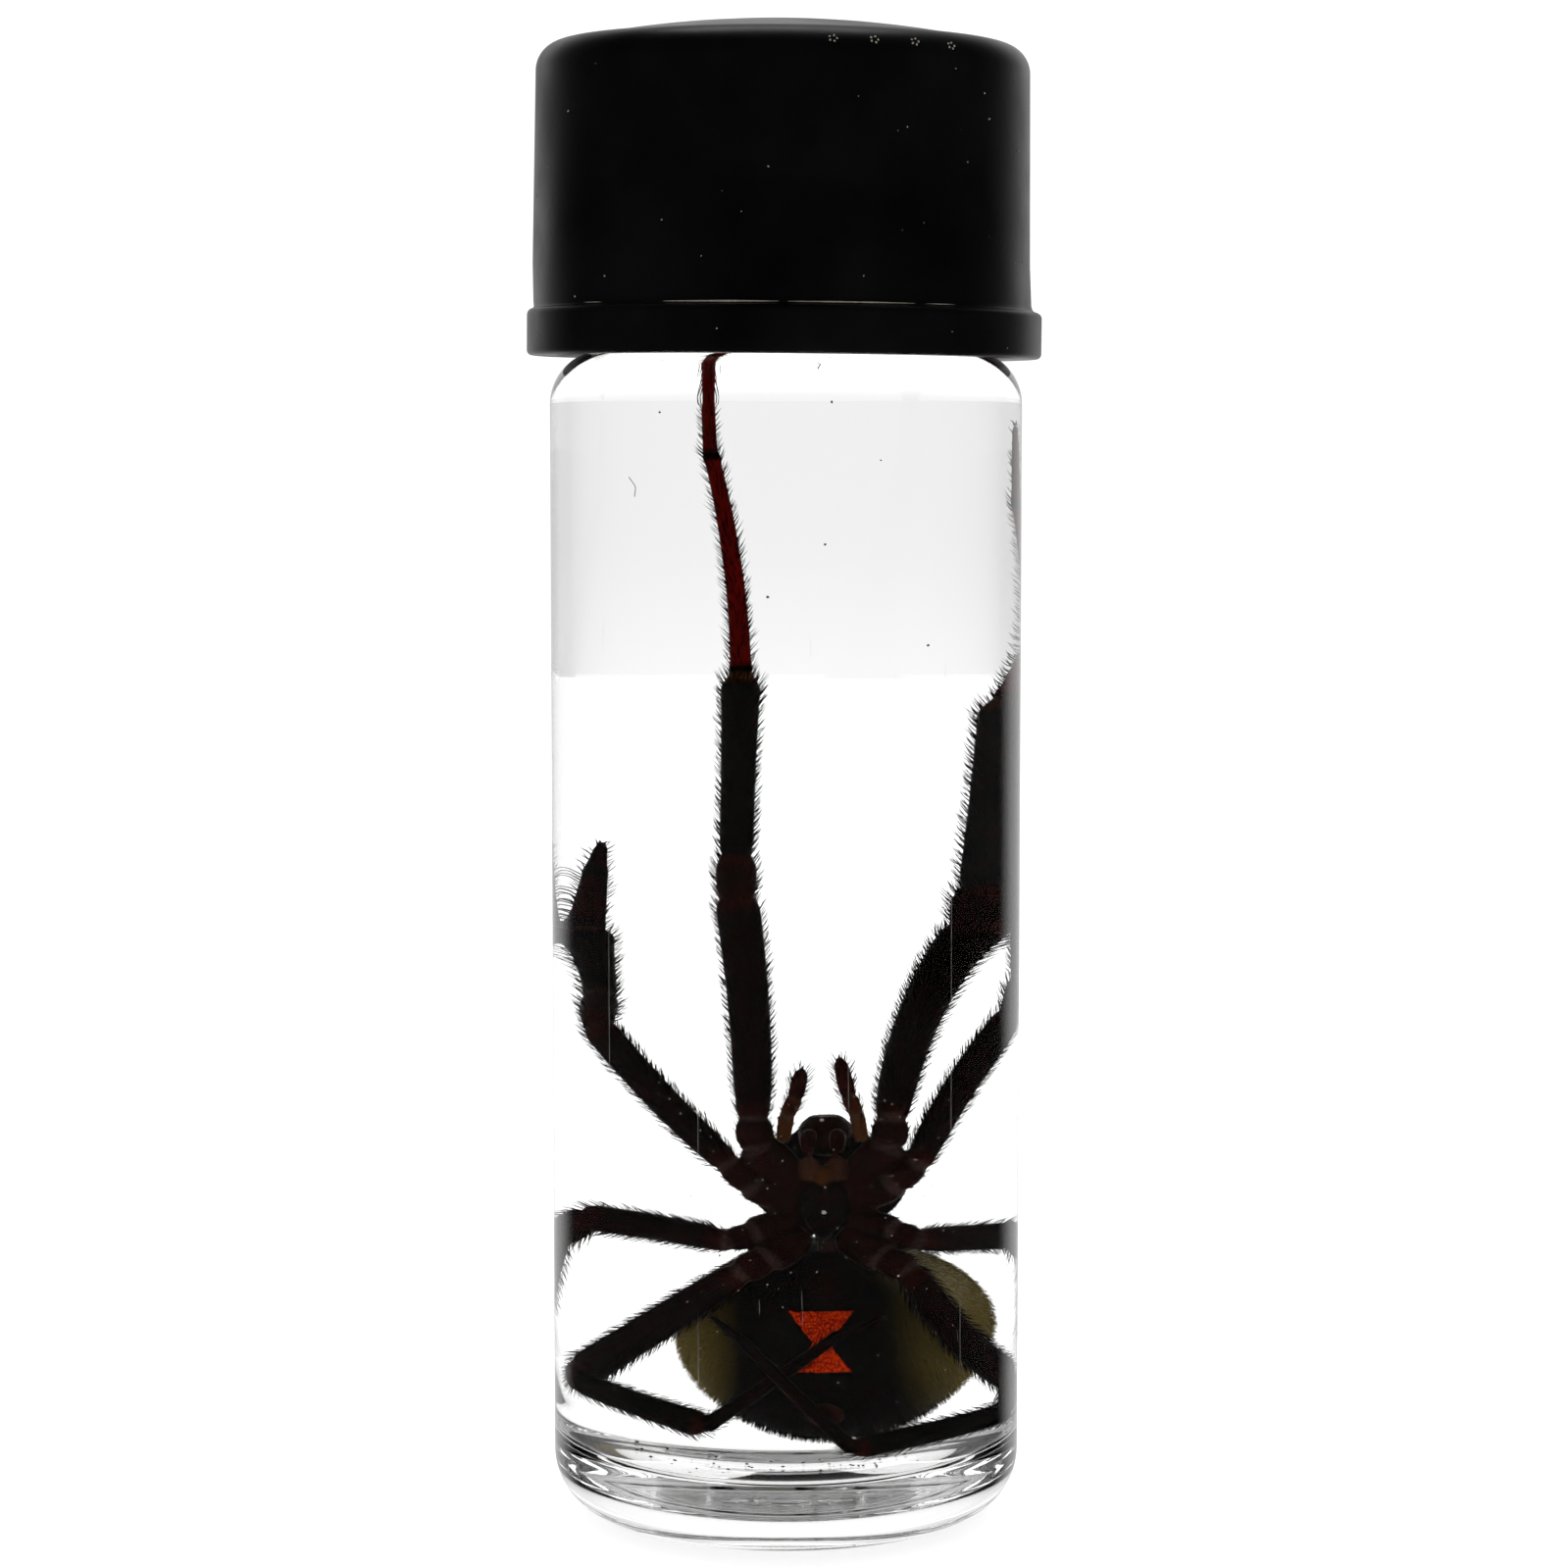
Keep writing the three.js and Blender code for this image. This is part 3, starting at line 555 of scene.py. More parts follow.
def along_points(points, places):
    """A path read at places along its points, counted from 0."""
    points = np.asarray(points, float)
    return np.stack([np.interp(places, range(len(points)), points[:, k]) for k in range(3)], 1)


def soften(path):
    """A path with its corners eased, changed in place."""
    for _ in range(3):
        path[1:-1] = (path[:-2] + 2 * path[1:-1] + path[2:]) / 4


def frames_along(points):
    """Tangents and two cross directions at each point of a path, turning as little as they can."""
    tangents = np.gradient(points, axis=0)
    tangents /= np.linalg.norm(tangents, axis=1)[:, None]
    side = np.cross(tangents[0], (0, 1, 0) if abs(tangents[0][2]) > 0.7 else (0, 0, 1))
    side /= np.linalg.norm(side)
    sides = [side]
    for tangent in tangents[1:]:
        side = sides[-1] - tangent * (sides[-1] @ tangent)
        sides.append(side / np.linalg.norm(side))
    sides = np.array(sides)
    return tangents, sides, np.cross(tangents, sides)


def rings_along(path, radii, sides):
    """Rings of points round a path, with the path's tangents and the rings' angles."""
    tangents, across, over = frames_along(path)
    angles = np.arange(sides) / sides * TURN
    ring = np.cos(angles)[None, :, None] * across[:, None] + np.sin(angles)[None, :, None] * over[:, None]
    return (path[:, None] + ring * np.asarray(radii)[:, None, None]).reshape(-1, 3), tangents, angles


def rod(path, radii, sides):
    """Points and faces of a closed rod along a path, cut flat at its ends."""
    points, _, _ = rings_along(np.asarray(path, float), radii, sides)
    count = len(path)
    faces = ring_faces(count, sides)
    return points, faces + [tuple(range(sides))[::-1], tuple((count - 1) * sides + i for i in range(sides))]


def bent_line(start, end, bow, count):
    """Points of a gently bowed line between two joints."""
    start, end = np.array(start, float), np.array(end, float)
    middle = (start + end) / 2 + bow
    t = np.linspace(0, 1, count)[:, None]
    return (1 - t) ** 2 * start + 2 * t * (1 - t) * middle + t ** 2 * end


def ball_mesh(centre, half, across, along, shape=None):
    """Points, faces and unit points of a ball of three half sizes, its unit points moved by a function."""
    rows = np.arange(1, along) / along * math.pi
    angles = np.arange(across) / across * TURN
    grid = np.stack([
        np.sin(rows)[:, None] * np.cos(angles)[None, :],
        np.sin(rows)[:, None] * np.sin(angles)[None, :],
        np.repeat(np.cos(rows)[:, None], across, 1),
    ], -1).reshape(-1, 3)
    unit = np.vstack([grid, [[0, 0, 1], [0, 0, -1]]])
    shaped = shape(unit.copy()) if shape else unit
    faces = []
    for low in range(0, (along - 2) * across, across):
        high = low + across
        faces += [(low + i, high + i, high + (i + 1) % across, low + (i + 1) % across) for i in range(across)]
    top, foot, last = len(grid), len(grid) + 1, (along - 2) * across
    for i in range(across):
        j = (i + 1) % across
        faces += [(top, i, j), (foot, last + j, last + i)]
    return np.array(centre) + shaped * np.array(half), faces, unit


def joined(shapes):
    """Several closed shapes as one set of points and faces."""
    points, faces, count = [], [], 0
    for shape_points, shape_faces in shapes:
        points.append(shape_points)
        faces += [tuple(i + count for i in face) for face in shape_faces]
        count += len(shape_points)
    return np.vstack(points), faces


# Vial

def neck_thread(radii, heights, angles):
    """The neck's screw thread, as a ridge that winds round the outside of the neck."""
    raised = radii.copy()
    outside = (radii > NECK_R - 0.2) & (radii < NECK_R + 0.2) & (heights > SHOULDER_TOP + 0.5)
    for turn in (0, 1):
        wound = angles / TURN + turn
        ridge = THREAD_LOW + wound * THREAD_PITCH
        ends = np.clip(wound / THREAD_FADE, 0, 1) * np.clip((THREAD_TURNS - wound) / THREAD_FADE, 0, 1)
        bump = np.exp(-((heights - ridge) / THREAD_HALF) ** 4) * THREAD_RISE * ends
        raised += np.where(outside, bump, 0)
    return raised


def swung(share):
    """From one at share 0 to nought at share 1, level at both."""
    return (math.cos(math.pi * share) + 1) / 2


def bowl_height(radius):
    """How high the glass floor lies inside, shallowly dished, at a distance from the vial's axis."""
    return BOWL_EDGE + (BOWL_MIDDLE - BOWL_EDGE) * swung(min(radius / (INNER_R - INNER_CORNER), 1))


def glass_inside():
    """The inside of the glass from the shoulder to the axis, as its shoulder, its corner and its floor."""
    shoulder = SHOULDER_R - WALL * 0.8
    return (arc(INNER_R - shoulder, SHOULDER_FOOT, shoulder, 0.84, 0, 12),
            arc(INNER_R - INNER_CORNER, BOWL_EDGE + INNER_CORNER, INNER_CORNER, 0, -1, 12)[1:],
            [(radius, bowl_height(radius)) for radius in BOWL_RADII])


def build_vial(settings):
    punt_r = VIAL_R - BASE_CORNER - 0.1
    outline = [(punt_r * k / PUNT_STEPS, PUNT * swung(k / PUNT_STEPS)) for k in range(PUNT_STEPS)]
    outline += arc(VIAL_R - BASE_CORNER, BASE_CORNER, BASE_CORNER, -1, 0, 16)
    outline += stretch(outline[-1], (VIAL_R, SHOULDER_FOOT), 8)
    outline += arc(VIAL_R - SHOULDER_R, SHOULDER_FOOT, SHOULDER_R, 0, 0.86, 14)[1:]
    outline += [(NECK_R + 0.1, SHOULDER_TOP + 0.05), (NECK_R, SHOULDER_TOP + 0.3)]
    outline += stretch(outline[-1], (NECK_R, VIAL_TOP - LIP_ROUND), 52)
    outline += arc(NECK_R - LIP_ROUND, VIAL_TOP - LIP_ROUND, LIP_ROUND, 0, 1, 5)[1:]
    outline += arc(BORE_R + LIP_ROUND, VIAL_TOP - LIP_ROUND, LIP_ROUND, 1, 2, 5)
    outline += stretch(outline[-1], (BORE_R, LIQUID_TOP + 0.2), 3)
    wet_start = len(outline) - 1
    shoulder, corner, bowl = glass_inside()
    outline += stretch(outline[-1], (BORE_R, BORE_FOOT), 6)
    outline += [(BORE_R + 0.05, SHOULDER_TOP - 0.1)] + shoulder
    outline += stretch(outline[-1], (INNER_R, BOWL_EDGE + INNER_CORNER), 8)
    outline += corner + bowl
    points, faces, rows = lathe(outline, GLASS_SIDES, neck_thread)
    glass = make_piece("vial_body", points, faces, [
        clear_glass("tube_glass", settings.glass_ior),
        clear_glass("tube_glass_wetted", settings.glass_ior / settings.liquid_ior),
    ], [int(row >= wet_start) for row in rows])
    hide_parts("vial_glass")


def build_liquid(settings):
    shoulder, corner, bowl = glass_inside()
    body = [(radius, LIQUID_TOP + rise) for radius, rise in MENISCUS]
    body += [(BORE_R - FILM, LIQUID_TOP + 0.19), (BORE_R - FILM, BORE_FOOT)]
    top_rows = len(body)
    body += [(r - FILM, z - FILM * 0.5) for r, z in shoulder]
    body += [(INNER_R - FILM, BOWL_EDGE + INNER_CORNER)]
    body += [(r - FILM * 0.7, z + FILM * 0.7) for r, z in corner]
    body += [(r, z + FILM) for r, z in bowl]
    points, faces, rows = lathe(body[::-1], LIQUID_SIDES)
    liquid = make_piece("preserving_liquid", points, faces, [
        clear_liquid("alcohol_at_glass", 1.0), clear_liquid("alcohol_surface", settings.liquid_ior),
    ], [int(row >= len(body) - top_rows) for row in rows])


def leaned(points):
    """Points on the cap, set a little aside above the bead and tipped as the cap sits on its thread."""
    x, y, z = points.T
    x = x - np.interp(z, (BEAD_TOP - 0.1, BEAD_TOP + 0.4), (0.02, 0.13))
    return np.stack([x + (z - CAP_MIDDLE) * CAP_LEAN, y, z - x * CAP_LEAN], 1)


def build_cap(settings):
    outline = [(0, CAP_CEILING), (CAP_BORE_R, CAP_CEILING), (CAP_BORE_R, CAP_FOOT + 0.4)]
    outline += [(CAP_BORE_R + 0.42, CAP_FOOT + 0.05), (CAP_BORE_R + 0.5, CAP_FOOT)]
    outline += arc(BEAD_R - 0.16, CAP_FOOT + 0.16, 0.16, -1, 0, 5)
    outline += stretch(outline[-1], (BEAD_R, BEAD_TOP - 0.22), 3)
    outline += arc(BEAD_R - 0.2, BEAD_TOP - 0.2, 0.2, 0.1, 0.9, 5)
    outline += [(CAP_R_FOOT + out, BEAD_TOP + up) for out, up in ((0.05, 0.02), (0.01, 0.08), (0, 0.2))]
    crown = arc(CAP_R_TOP - CAP_ROUND, ROUNDING_FOOT, CAP_ROUND, 0, 0.95, 14)
    outline += stretch(outline[-1], crown[0], 6)[:-1] + crown
    outline += [(CROWN_R * share, CAP_TOP - CAP_CROWN * share ** 2)
                for share in (0.98, 0.9, 0.8, 0.7, 0.6, 0.45, 0.3, 0.15, 0)]
    points, faces, _ = lathe(outline[::-1], CAP_SIDES)
    faces = [face[::-1] for face in faces]
    cap = make_piece("screw_cap", leaned(points), faces, [moulded_plastic(settings.cap_roughness)])
    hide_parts("cap")
    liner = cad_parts["cap_liner"]
    liner.data.materials.clear()
    liner.data.materials.append(foam_liner())


# Spider

def tinted(count, **shares):
    """Tint shares for so many points, each share one number or one for every point."""
    tints = np.zeros((count, len(TINTS)))
    for name, share in shares.items():
        tints[:, TINTS.index(name)] = share
    return tints


class SkinParts:
    """The closed shapes that the skin is fused from, with what each point carries over to the skin."""

    def __init__(self):
        self.points, self.faces, self.carried, self.count, self.cells = [], [], [], 0, 0

    def add(self, points, faces, carried):
        self.points.append(points)
        self.faces += [tuple(i + self.count for i in face) for face in faces]
        self.carried.append(carried)
        self.count += len(points)

    def carry(self, tints, hair, lie, across, along):
        """What points carry, their place on the unwrap given as two shares of the next free cell."""
        carried = np.zeros((len(across), CARRIED))
        carried[:, :HAIR], carried[:, HAIR], carried[:, LIE] = tints, hair, lie
        corner = np.array(((self.cells % 10) / 10, (self.cells // 10) / 10))
        carried[:, PLACE] = corner + 0.005 + 0.09 * np.stack([across, along], 1)
        self.cells += 1
        return carried


def add_tube(parts, path, radii, tints, hair, sides=20):
    """A rod along a path, rounded at both ends."""
    points, tangents, angles = rings_along(path, radii, sides)
    count = len(path)
    ends = [path[0] - tangents[0] * radii[0] * 0.55, path[-1] + tangents[-1] * radii[-1] * 0.55]
    carried = parts.carry(np.repeat(tints, sides, 0), np.repeat(hair, sides), np.repeat(tangents, sides, 0),
                          np.tile(angles / TURN, count), np.repeat(np.linspace(0, 1, count), sides))
    carried = np.vstack([carried, carried[0], carried[-1]])
    parts.add(np.vstack([points, ends]), closed_faces(count, sides), carried)


def add_ball(parts, centre, half, tints, hair=0.0, shape=None, across=40, along=28):
    """A ball among the skin's shapes; its tints and hair may be functions of its unit points."""
    points, faces, unit = ball_mesh(centre, half, across, along, shape)
    tints = tints(unit) if callable(tints) else tinted(len(points), **tints)
    hair = hair(unit) if callable(hair) else hair
    round_share = np.arctan2(unit[:, 1], unit[:, 0]) / TURN % 1
    carried = parts.carry(tints, hair, (0, 0, -1), round_share, (unit[:, 2] + 1) / 2)
    parts.add(points, faces, carried)


def bent_tarsus(path):
    """The tarsus in the neck with its radii, thicker to its end and drawn out into its bent tip."""
    tip = NECK_TIP[1:]
    bend = along_points(tip, np.linspace(0, len(tip) - 1, 10))
    whole = np.vstack([path[path[:, 2] < NECK_TIP[0][2] - 0.1], bend])
    soften(whole)
    steps = np.concatenate([[0], np.cumsum(np.linalg.norm(np.diff(whole, axis=0), axis=1))])
    even = np.linspace(0, steps[-1], len(path))
    whole = np.stack([np.interp(even, steps, whole[:, k]) for k in range(3)], 1)
    return whole, np.interp(even / steps[-1], *zip(*NECK_TIP_RADII))


def leg_tints(part, pair, t, length):
    """The tints along one length of a leg: pale at its joints, rust near them, red beyond the tibia."""
    tints = tinted(len(t), **TINT_OF_PART[part])
    pale, rust, amber, red = (tints[:, TINTS.index(tint)] for tint in ("pale", "rust", "amber", "red"))
    near = np.minimum(t, 1 - t) * length
    from_start, to_end = t * length, (1 - t) * length
    if part == "coxa":
        pale[:] = (1 - smooth_step(to_end, 0.02, 0.07)) * 0.45
    elif part == "trochanter":
        pale[:] = (1 - smooth_step(near, 0.02, 0.08)) * 0.45
    elif part in ("femur", "patella"):
        rust[:] = np.maximum(rust, 0.75 * (1 - smooth_step(near, 0.1, 0.8)))
        if part == "femur":
            pale[:] = (1 - smooth_step(from_start, 0.02, 0.1)) * 0.5
    elif part == "tibia":
        rust[:] = 1 - smooth_step(to_end, 0.18, 0.34)
        amber[:] = 0.45 * (1 - smooth_step(to_end, 0.1, 0.3)) * REDNESS[pair]
    elif part == "metatarsus":
        red[:] = REDNESS[pair] * smooth_step(from_start, 0.28, 0.42) * smooth_step(to_end, 0.22, 0.34)
    else:
        red[:] = REDNESS[pair] * 0.75
        rust[:] *= REDNESS[pair]
    return tints


def add_leg(parts, name, joints, hair_length):
    pair = name[4]
    for part, start, end in zip(LEG_PARTS, joints, joints[1:]):
        length = math.dist(start, end)
        count = max(12, int(length / RING_EVERY))
        path = bent_line(start, end, np.array(LEG_BOWS.get((name, part), (0, 0, 0))), count)
        t = np.linspace(0, 1, count)
        low, high = LEG_RADII[part]
        radii = (low + (high - low) * t) * np.interp(t, *zip(*FULLNESS[part]))
        if part not in ("metatarsus", "tarsus"):
            radii *= PAIR_SHARE[pair]
        if (name, part) == ("leg_1_right", "tarsus"):
            path, radii = bent_tarsus(path)
        hair = np.full(count, hair_length * LEG_HAIR.get(part, 1.0))
        add_tube(parts, path, radii, leg_tints(part, pair, t, length), hair, 14 if part == "tarsus" else 20)


def add_palp(parts, joints, hair_length):
    count = 14
    t = np.linspace(0, 1, count)
    for i, part in enumerate(("femur", "patella", "tarsus")):
        path = bent_line(joints[i], joints[i + 1], np.zeros(3), count)
        radii = np.interp(t, (0, 1), PALP_RADII[i:i + 2])
        if part == "tarsus":
            radii = np.interp(t, (0, 0.1, 0.45, 0.8, 1), (0.18, 0.21, 0.21, 0.18, 0.08))
        radii = radii * np.interp(t, (0, 0.12, 0.88, 1), (0.8, 1, 1.05, 0.85))
        tints = tinted(count, **PALP_TINTS[part])
        paleness = 0.2 if part == "tarsus" else 0.45
        tints[:, 0] = (1 - smooth_step(np.minimum(t, 1 - t), 0.02, 0.14)) * paleness
        add_tube(parts, path, radii, tints, np.full(count, hair_length * PALP_HAIR[part]), 16)


def carapace(unit):
    """The front body's shield, narrowed to the head, with a pit and faint grooves that run to it."""
    x, y, z = unit.T.copy()
    pit = np.where(y > 0, 0.2 * np.exp(-12 * (x ** 2 + (z + 0.2) ** 2)), 0)
    grooves = np.zeros(len(unit))
    for place in (-0.55, -0.15, 0.25):
        grooves += 0.07 * np.exp(-90 * (z - place - 0.25 * np.abs(x)) ** 2) * np.abs(x)
    unit[:, 0] *= 1 - 0.42 * smooth_step(z, -0.1, 1)
    unit[:, 1] -= pit + np.where(y > 0, grooves, 0)
    return unit


def carapace_tints(unit):
    below = smooth_step(-unit[:, 1], 0.0, 0.3) * (1 - smooth_step(unit[:, 2], 0.3, 0.6))
    return tinted(len(unit), pale=0.08 * below, rust=0.25)


def sternum(unit):
    unit[:, 0] *= 1 - 0.45 * smooth_step(-unit[:, 2], 0, 1)
    unit[:, 1] = np.maximum(unit[:, 1], -0.92)
    return unit


def head(unit):
    unit[:, 2] = np.minimum(unit[:, 2], 0.86)
    return unit


def globe(unit):
    """The abdomen, a little narrower below and leaning back towards its top."""
    rear = 1 - 0.05 * smooth_step(-unit[:, 2], 0.1, 1)
    lean = 0.07 * unit[:, 2]
    unit[:, 0] *= rear
    unit[:, 1] = unit[:, 1] * rear + lean
    return unit


def globe_tints(unit):
    x, y, z = unit.T
    # Painted rim light: olive on the flanks and back, where the bright backdrop behind lights the edge, and a
    # cream patch of painted backlit glow on the shoulder
    rimlit_flank = np.maximum(smooth_step(-x, 0.6, 1.0), smooth_step(x + 0.15 * z, 0.42, 1.0))
    side = np.maximum(rimlit_flank, 0.8 * smooth_step(y, 0.3, 0.8)) * (1 - smooth_step(-z, 0.6, 0.85))
    patch = 0.9 * np.exp(-((x - 0.72) ** 2 / 0.12 + (z - 0.62) ** 2 / 0.14)) * smooth_step(y, -0.75, -0.4)
    plate = 0.35 * np.exp(-((x + 0.03) ** 2 / 0.02 + (z - 0.68) ** 2 / 0.02)) * (y < 0)
    return tinted(len(unit), olive=side, cream=np.clip(patch, 0, 1), rust=plate)


def add_front_body(parts):
    """The shield, breast plate, head, waist, mouth pads and jaws, and the lip between the pads."""
    add_ball(parts, *CARAPACE, carapace_tints, 0.1, carapace)
    add_ball(parts, *STERNUM, {"rust": 0.05}, 0.16, sternum)
    add_ball(parts, *HEAD, {"pale": 0.06, "rust": 0.5}, 0.12, head)
    stalk = bent_line((MID_X + 0.05, 0.35, 9.7), (MID_X + 0.07, 0.45, 8.7), np.zeros(3), 8)
    add_tube(parts, stalk, [0.24] * 8, tinted(8, pale=0.3, rust=0.5), np.zeros(8))
    for side in (-1, 1):
        add_ball(parts, (MID_X + side * 0.33, -0.66, 11.5), (0.24, 0.28, 0.4),
                 {"rust": 0.8, "amber": 0.15, "pale": 0.15}, 0.12, across=16, along=12)
        jaw = bent_line((MID_X + side * 0.33, -0.62, 12.6), (MID_X + side * 0.35, -1.28, 12.12),
                        np.array((side * 0.05, -0.12, 0.1)), 12)
        radii = np.interp(np.linspace(0, 1, 12), (0, 0.2, 0.6, 0.9, 1), (0.17, 0.22, 0.21, 0.18, 0.12))
        add_tube(parts, jaw, radii, tinted(12, rust=0.6), np.full(12, 0.14))
    add_ball(parts, (MID_X, -0.72, 11.28), (0.19, 0.25, 0.29), {"rust": 1.0, "amber": 0.25}, 0.0,
             across=16, along=12)


def add_abdomen(parts, fuzz):
    """The globe with its down, the low ring of the spinnerets and six cones on it."""
    def down(unit):
        return fuzz * (1 - 0.55 * smooth_step(-unit[:, 1], 0.75, 0.95))

    add_ball(parts, *ABDOMEN, globe_tints, down, globe, 120, 84)
    root, lie = np.array(SPINNERETS), np.array(SPINNERETS_LIE)
    ring = np.array([root, root + lie * 0.12, root + lie * 0.26])
    add_tube(parts, ring, [0.46, 0.5, 0.4], tinted(3, pale=(0.5, 0.35, 0.05), rust=0.7), np.full(3, 0.12), 24)
    for i in range(6):
        angle = (i + 0.5) / 6 * TURN
        foot = root + np.array((0.25 * math.cos(angle), 0, 0.25 * math.sin(angle)))
        path = bent_line(foot + lie * 0.05, foot + lie * 0.46, np.zeros(3), 7)
        radii = np.interp(np.linspace(0, 1, 7), (0, 0.7, 1), (0.15, 0.13, 0.06))
        add_tube(parts, path, radii, tinted(7, rust=0.7), np.full(7, 0.14), 12)


def fused_mesh(points, faces, grain):
    """A mesh of the overlapping parts fused into one closed surface of even faces, and its points."""
    mesh = bpy.data.meshes.new("loose_parts")
    mesh.from_pydata(points.tolist(), [], faces)
    loose = bpy.data.objects.new("loose_parts", mesh)
    bpy.context.scene.collection.objects.link(loose)
    voxels = loose.modifiers.new("fuse", "REMESH")
    voxels.mode = "VOXEL"
    voxels.voxel_size = grain
    voxels.adaptivity = 0.0
    eased = loose.modifiers.new("soften", "SMOOTH")
    eased.factor = 0.5
    eased.iterations = 3
    graph = bpy.context.evaluated_depsgraph_get()
    fused = bpy.data.meshes.new_from_object(loose.evaluated_get(graph))
    bpy.data.objects.remove(loose)
    bpy.data.meshes.remove(mesh)
    found = np.zeros(len(fused.vertices) * 3, np.float32)
    fused.vertices.foreach_get("co", found)
    return fused, found.reshape(-1, 3).astype(float)


def carried_over(source, carried, points):
    """What the nearest of the source's points carry, its tints and hair length blended from three."""
    tree = KDTree(len(source))
    for i, point in enumerate(source):
        tree.insert(point, i)
    tree.balance()
    found = np.zeros((len(points), CARRIED))
    for i, point in enumerate(points):
        near = tree.find_n(point, 3)
        weights = np.array([1 / (distance + 1e-4) for _, _, distance in near])
        weights /= weights.sum()
        found[i] = carried[near[0][1]]
        blended = [weight * carried[index, :LIE.start] for weight, (_, index, _) in zip(weights, near)]
        found[i, :LIE.start] = sum(blended)
    return found


def build_skin(settings):
    parts = SkinParts()
    seta = settings.seta_length / MM
    add_front_body(parts)
    add_abdomen(parts, settings.fuzz_length / MM)
    for name, joints in LEG_JOINTS.items():
        add_leg(parts, name, joints, seta)
    for joints in PALP_JOINTS.values():
        add_palp(parts, joints, seta)
    grain = settings.skin_grain / MM * 1.0
    source = np.vstack(parts.points)
    mesh, points = fused_mesh(source, parts.faces, grain)
    carried = carried_over(source, np.vstack(parts.carried), points)
    mesh.name = "spider_skin"
    mesh.materials.clear()
    mesh.materials.append(spider_cuticle())
    mesh.vertices.foreach_set("co", (points * MM).astype(np.float32).ravel())
    for layer, columns in (("tints_near", slice(0, 3)), ("tints_far", slice(3, 6))):
        shares = np.hstack([carried[:, columns], np.ones((len(points), 1))]).astype(np.float32)
        mesh.attributes.new(layer, "FLOAT_COLOR", "POINT").data.foreach_set("color", shares.ravel())
    mesh.polygons.foreach_set("use_smooth", [True] * len(mesh.polygons))
    mesh.update()
    skin = bpy.data.objects.new("spider_skin", mesh)
    bpy.context.scene.collection.objects.link(skin)
    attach(skin, "root")
    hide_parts("prosoma", "abdomen", "hourglass", "spinnerets", "chelicera_right", "chelicera_left",
                *PALP_JOINTS, *LEG_JOINTS)
    return skin, points, carried


def scatter(mesh, points, density, seed, keep):
    """Even places on the skin's faces, so many to the square millimetre: spot, facing and nearest point."""
    mesh.calc_loop_triangles()
    corners = np.zeros(len(mesh.loop_triangles) * 3, np.int32)
    mesh.loop_triangles.foreach_get("vertices", corners)
    corners = corners.reshape(-1, 3)
    a, b, c = (points[corners[:, k]] for k in range(3))
    normals = np.cross(b - a, c - a)
    weights = np.linalg.norm(normals, axis=1) / 2 * keep[corners[:, 0]]
    random = np.random.default_rng(seed)
    count = int(weights.sum() * density * 3)
    chosen = random.choice(len(corners), count, p=weights / weights.sum())
    u, v = random.random(count), random.random(count)
    flip = u + v > 1
    u[flip], v[flip] = 1 - u[flip], 1 - v[flip]
    spots = a[chosen] + (b[chosen] - a[chosen]) * u[:, None] + (c[chosen] - a[chosen]) * v[:, None]
    squares = np.floor(spots * math.sqrt(density)).astype(np.int64)
    first = np.sort(np.unique(squares, axis=0, return_index=True)[1])
    spots, chosen = spots[first], chosen[first]
    facing = normals[chosen] / np.maximum(np.linalg.norm(normals[chosen], axis=1), 1e-12)[:, None]
    return spots, facing, corners[chosen, 0], random


def hair_piece(name, roots, directions, curls, lengths, width, places, tones, material):
    """A joined mesh of tapered three-sided hairs, each bent along its length and placed on the unwrap."""
    count = len(roots)
    side = unit_rows(np.cross(directions, np.roll(directions, 1, axis=1) + 0.3))
    over = np.cross(directions, side)
    half_way = roots + directions * (lengths * 0.55)[:, None] + curls * (lengths * 0.08)[:, None]
    points = np.zeros((count, 7, 3))
    pattern = []
    for k in range(3):
        angle = k / 3 * TURN
        offset = (side * math.cos(angle) + over * math.sin(angle)) * width / 2
        points[:, k] = roots - directions * 0.02 + offset
        points[:, 3 + k] = half_way + offset * 0.7
        j = (k + 1) % 3
        pattern += [(k, j, 3 + j), (k, 3 + j, 3 + k), (3 + k, 3 + j, 6)]
    points[:, 6] = roots + directions * lengths[:, None] + curls * (lengths * 0.28)[:, None]
    faces = (np.arange(count)[:, None, None] * 7 + np.array(pattern)[None]).reshape(-1, 3)
    piece = make_piece(name, points.reshape(-1, 3), faces.tolist(), [material])
    tone = piece.data.attributes.new("tone", "FLOAT", "POINT")
    along = np.array([0, 0, 0, 0.5, 0.5, 0.5, 1.0])
    shades = np.repeat(tones, 7) * (0.55 + 0.45 * np.tile(along, count))
    tone.data.foreach_set("value", shades.astype(np.float32))
    unwrap = piece.data.uv_layers.new(name="OFBake")
    patch = np.array([(0, 0), (1, 0), (0.5, 0.4), (0, 0.6), (1, 0.6), (0.5, 0.8), (0.5, 1)]) * 0.003
    spots = (places[:, None, :] + patch[None]).reshape(-1, 2)
    loops = np.zeros(len(piece.data.loops), np.int32)
    piece.data.loops.foreach_get("vertex_index", loops)
    unwrap.data.foreach_set("uv", spots[loops].astype(np.float32).ravel())


def leaning(facing, lie, rise, lowest, highest, wander, random):
    """Hair directions between where the skin faces and where its hair lies, each a little its own way."""
    share = random.uniform(lowest, highest, len(facing))[:, None]
    return unit_rows(facing * rise + lie * share + random.normal(0, wander, facing.shape))


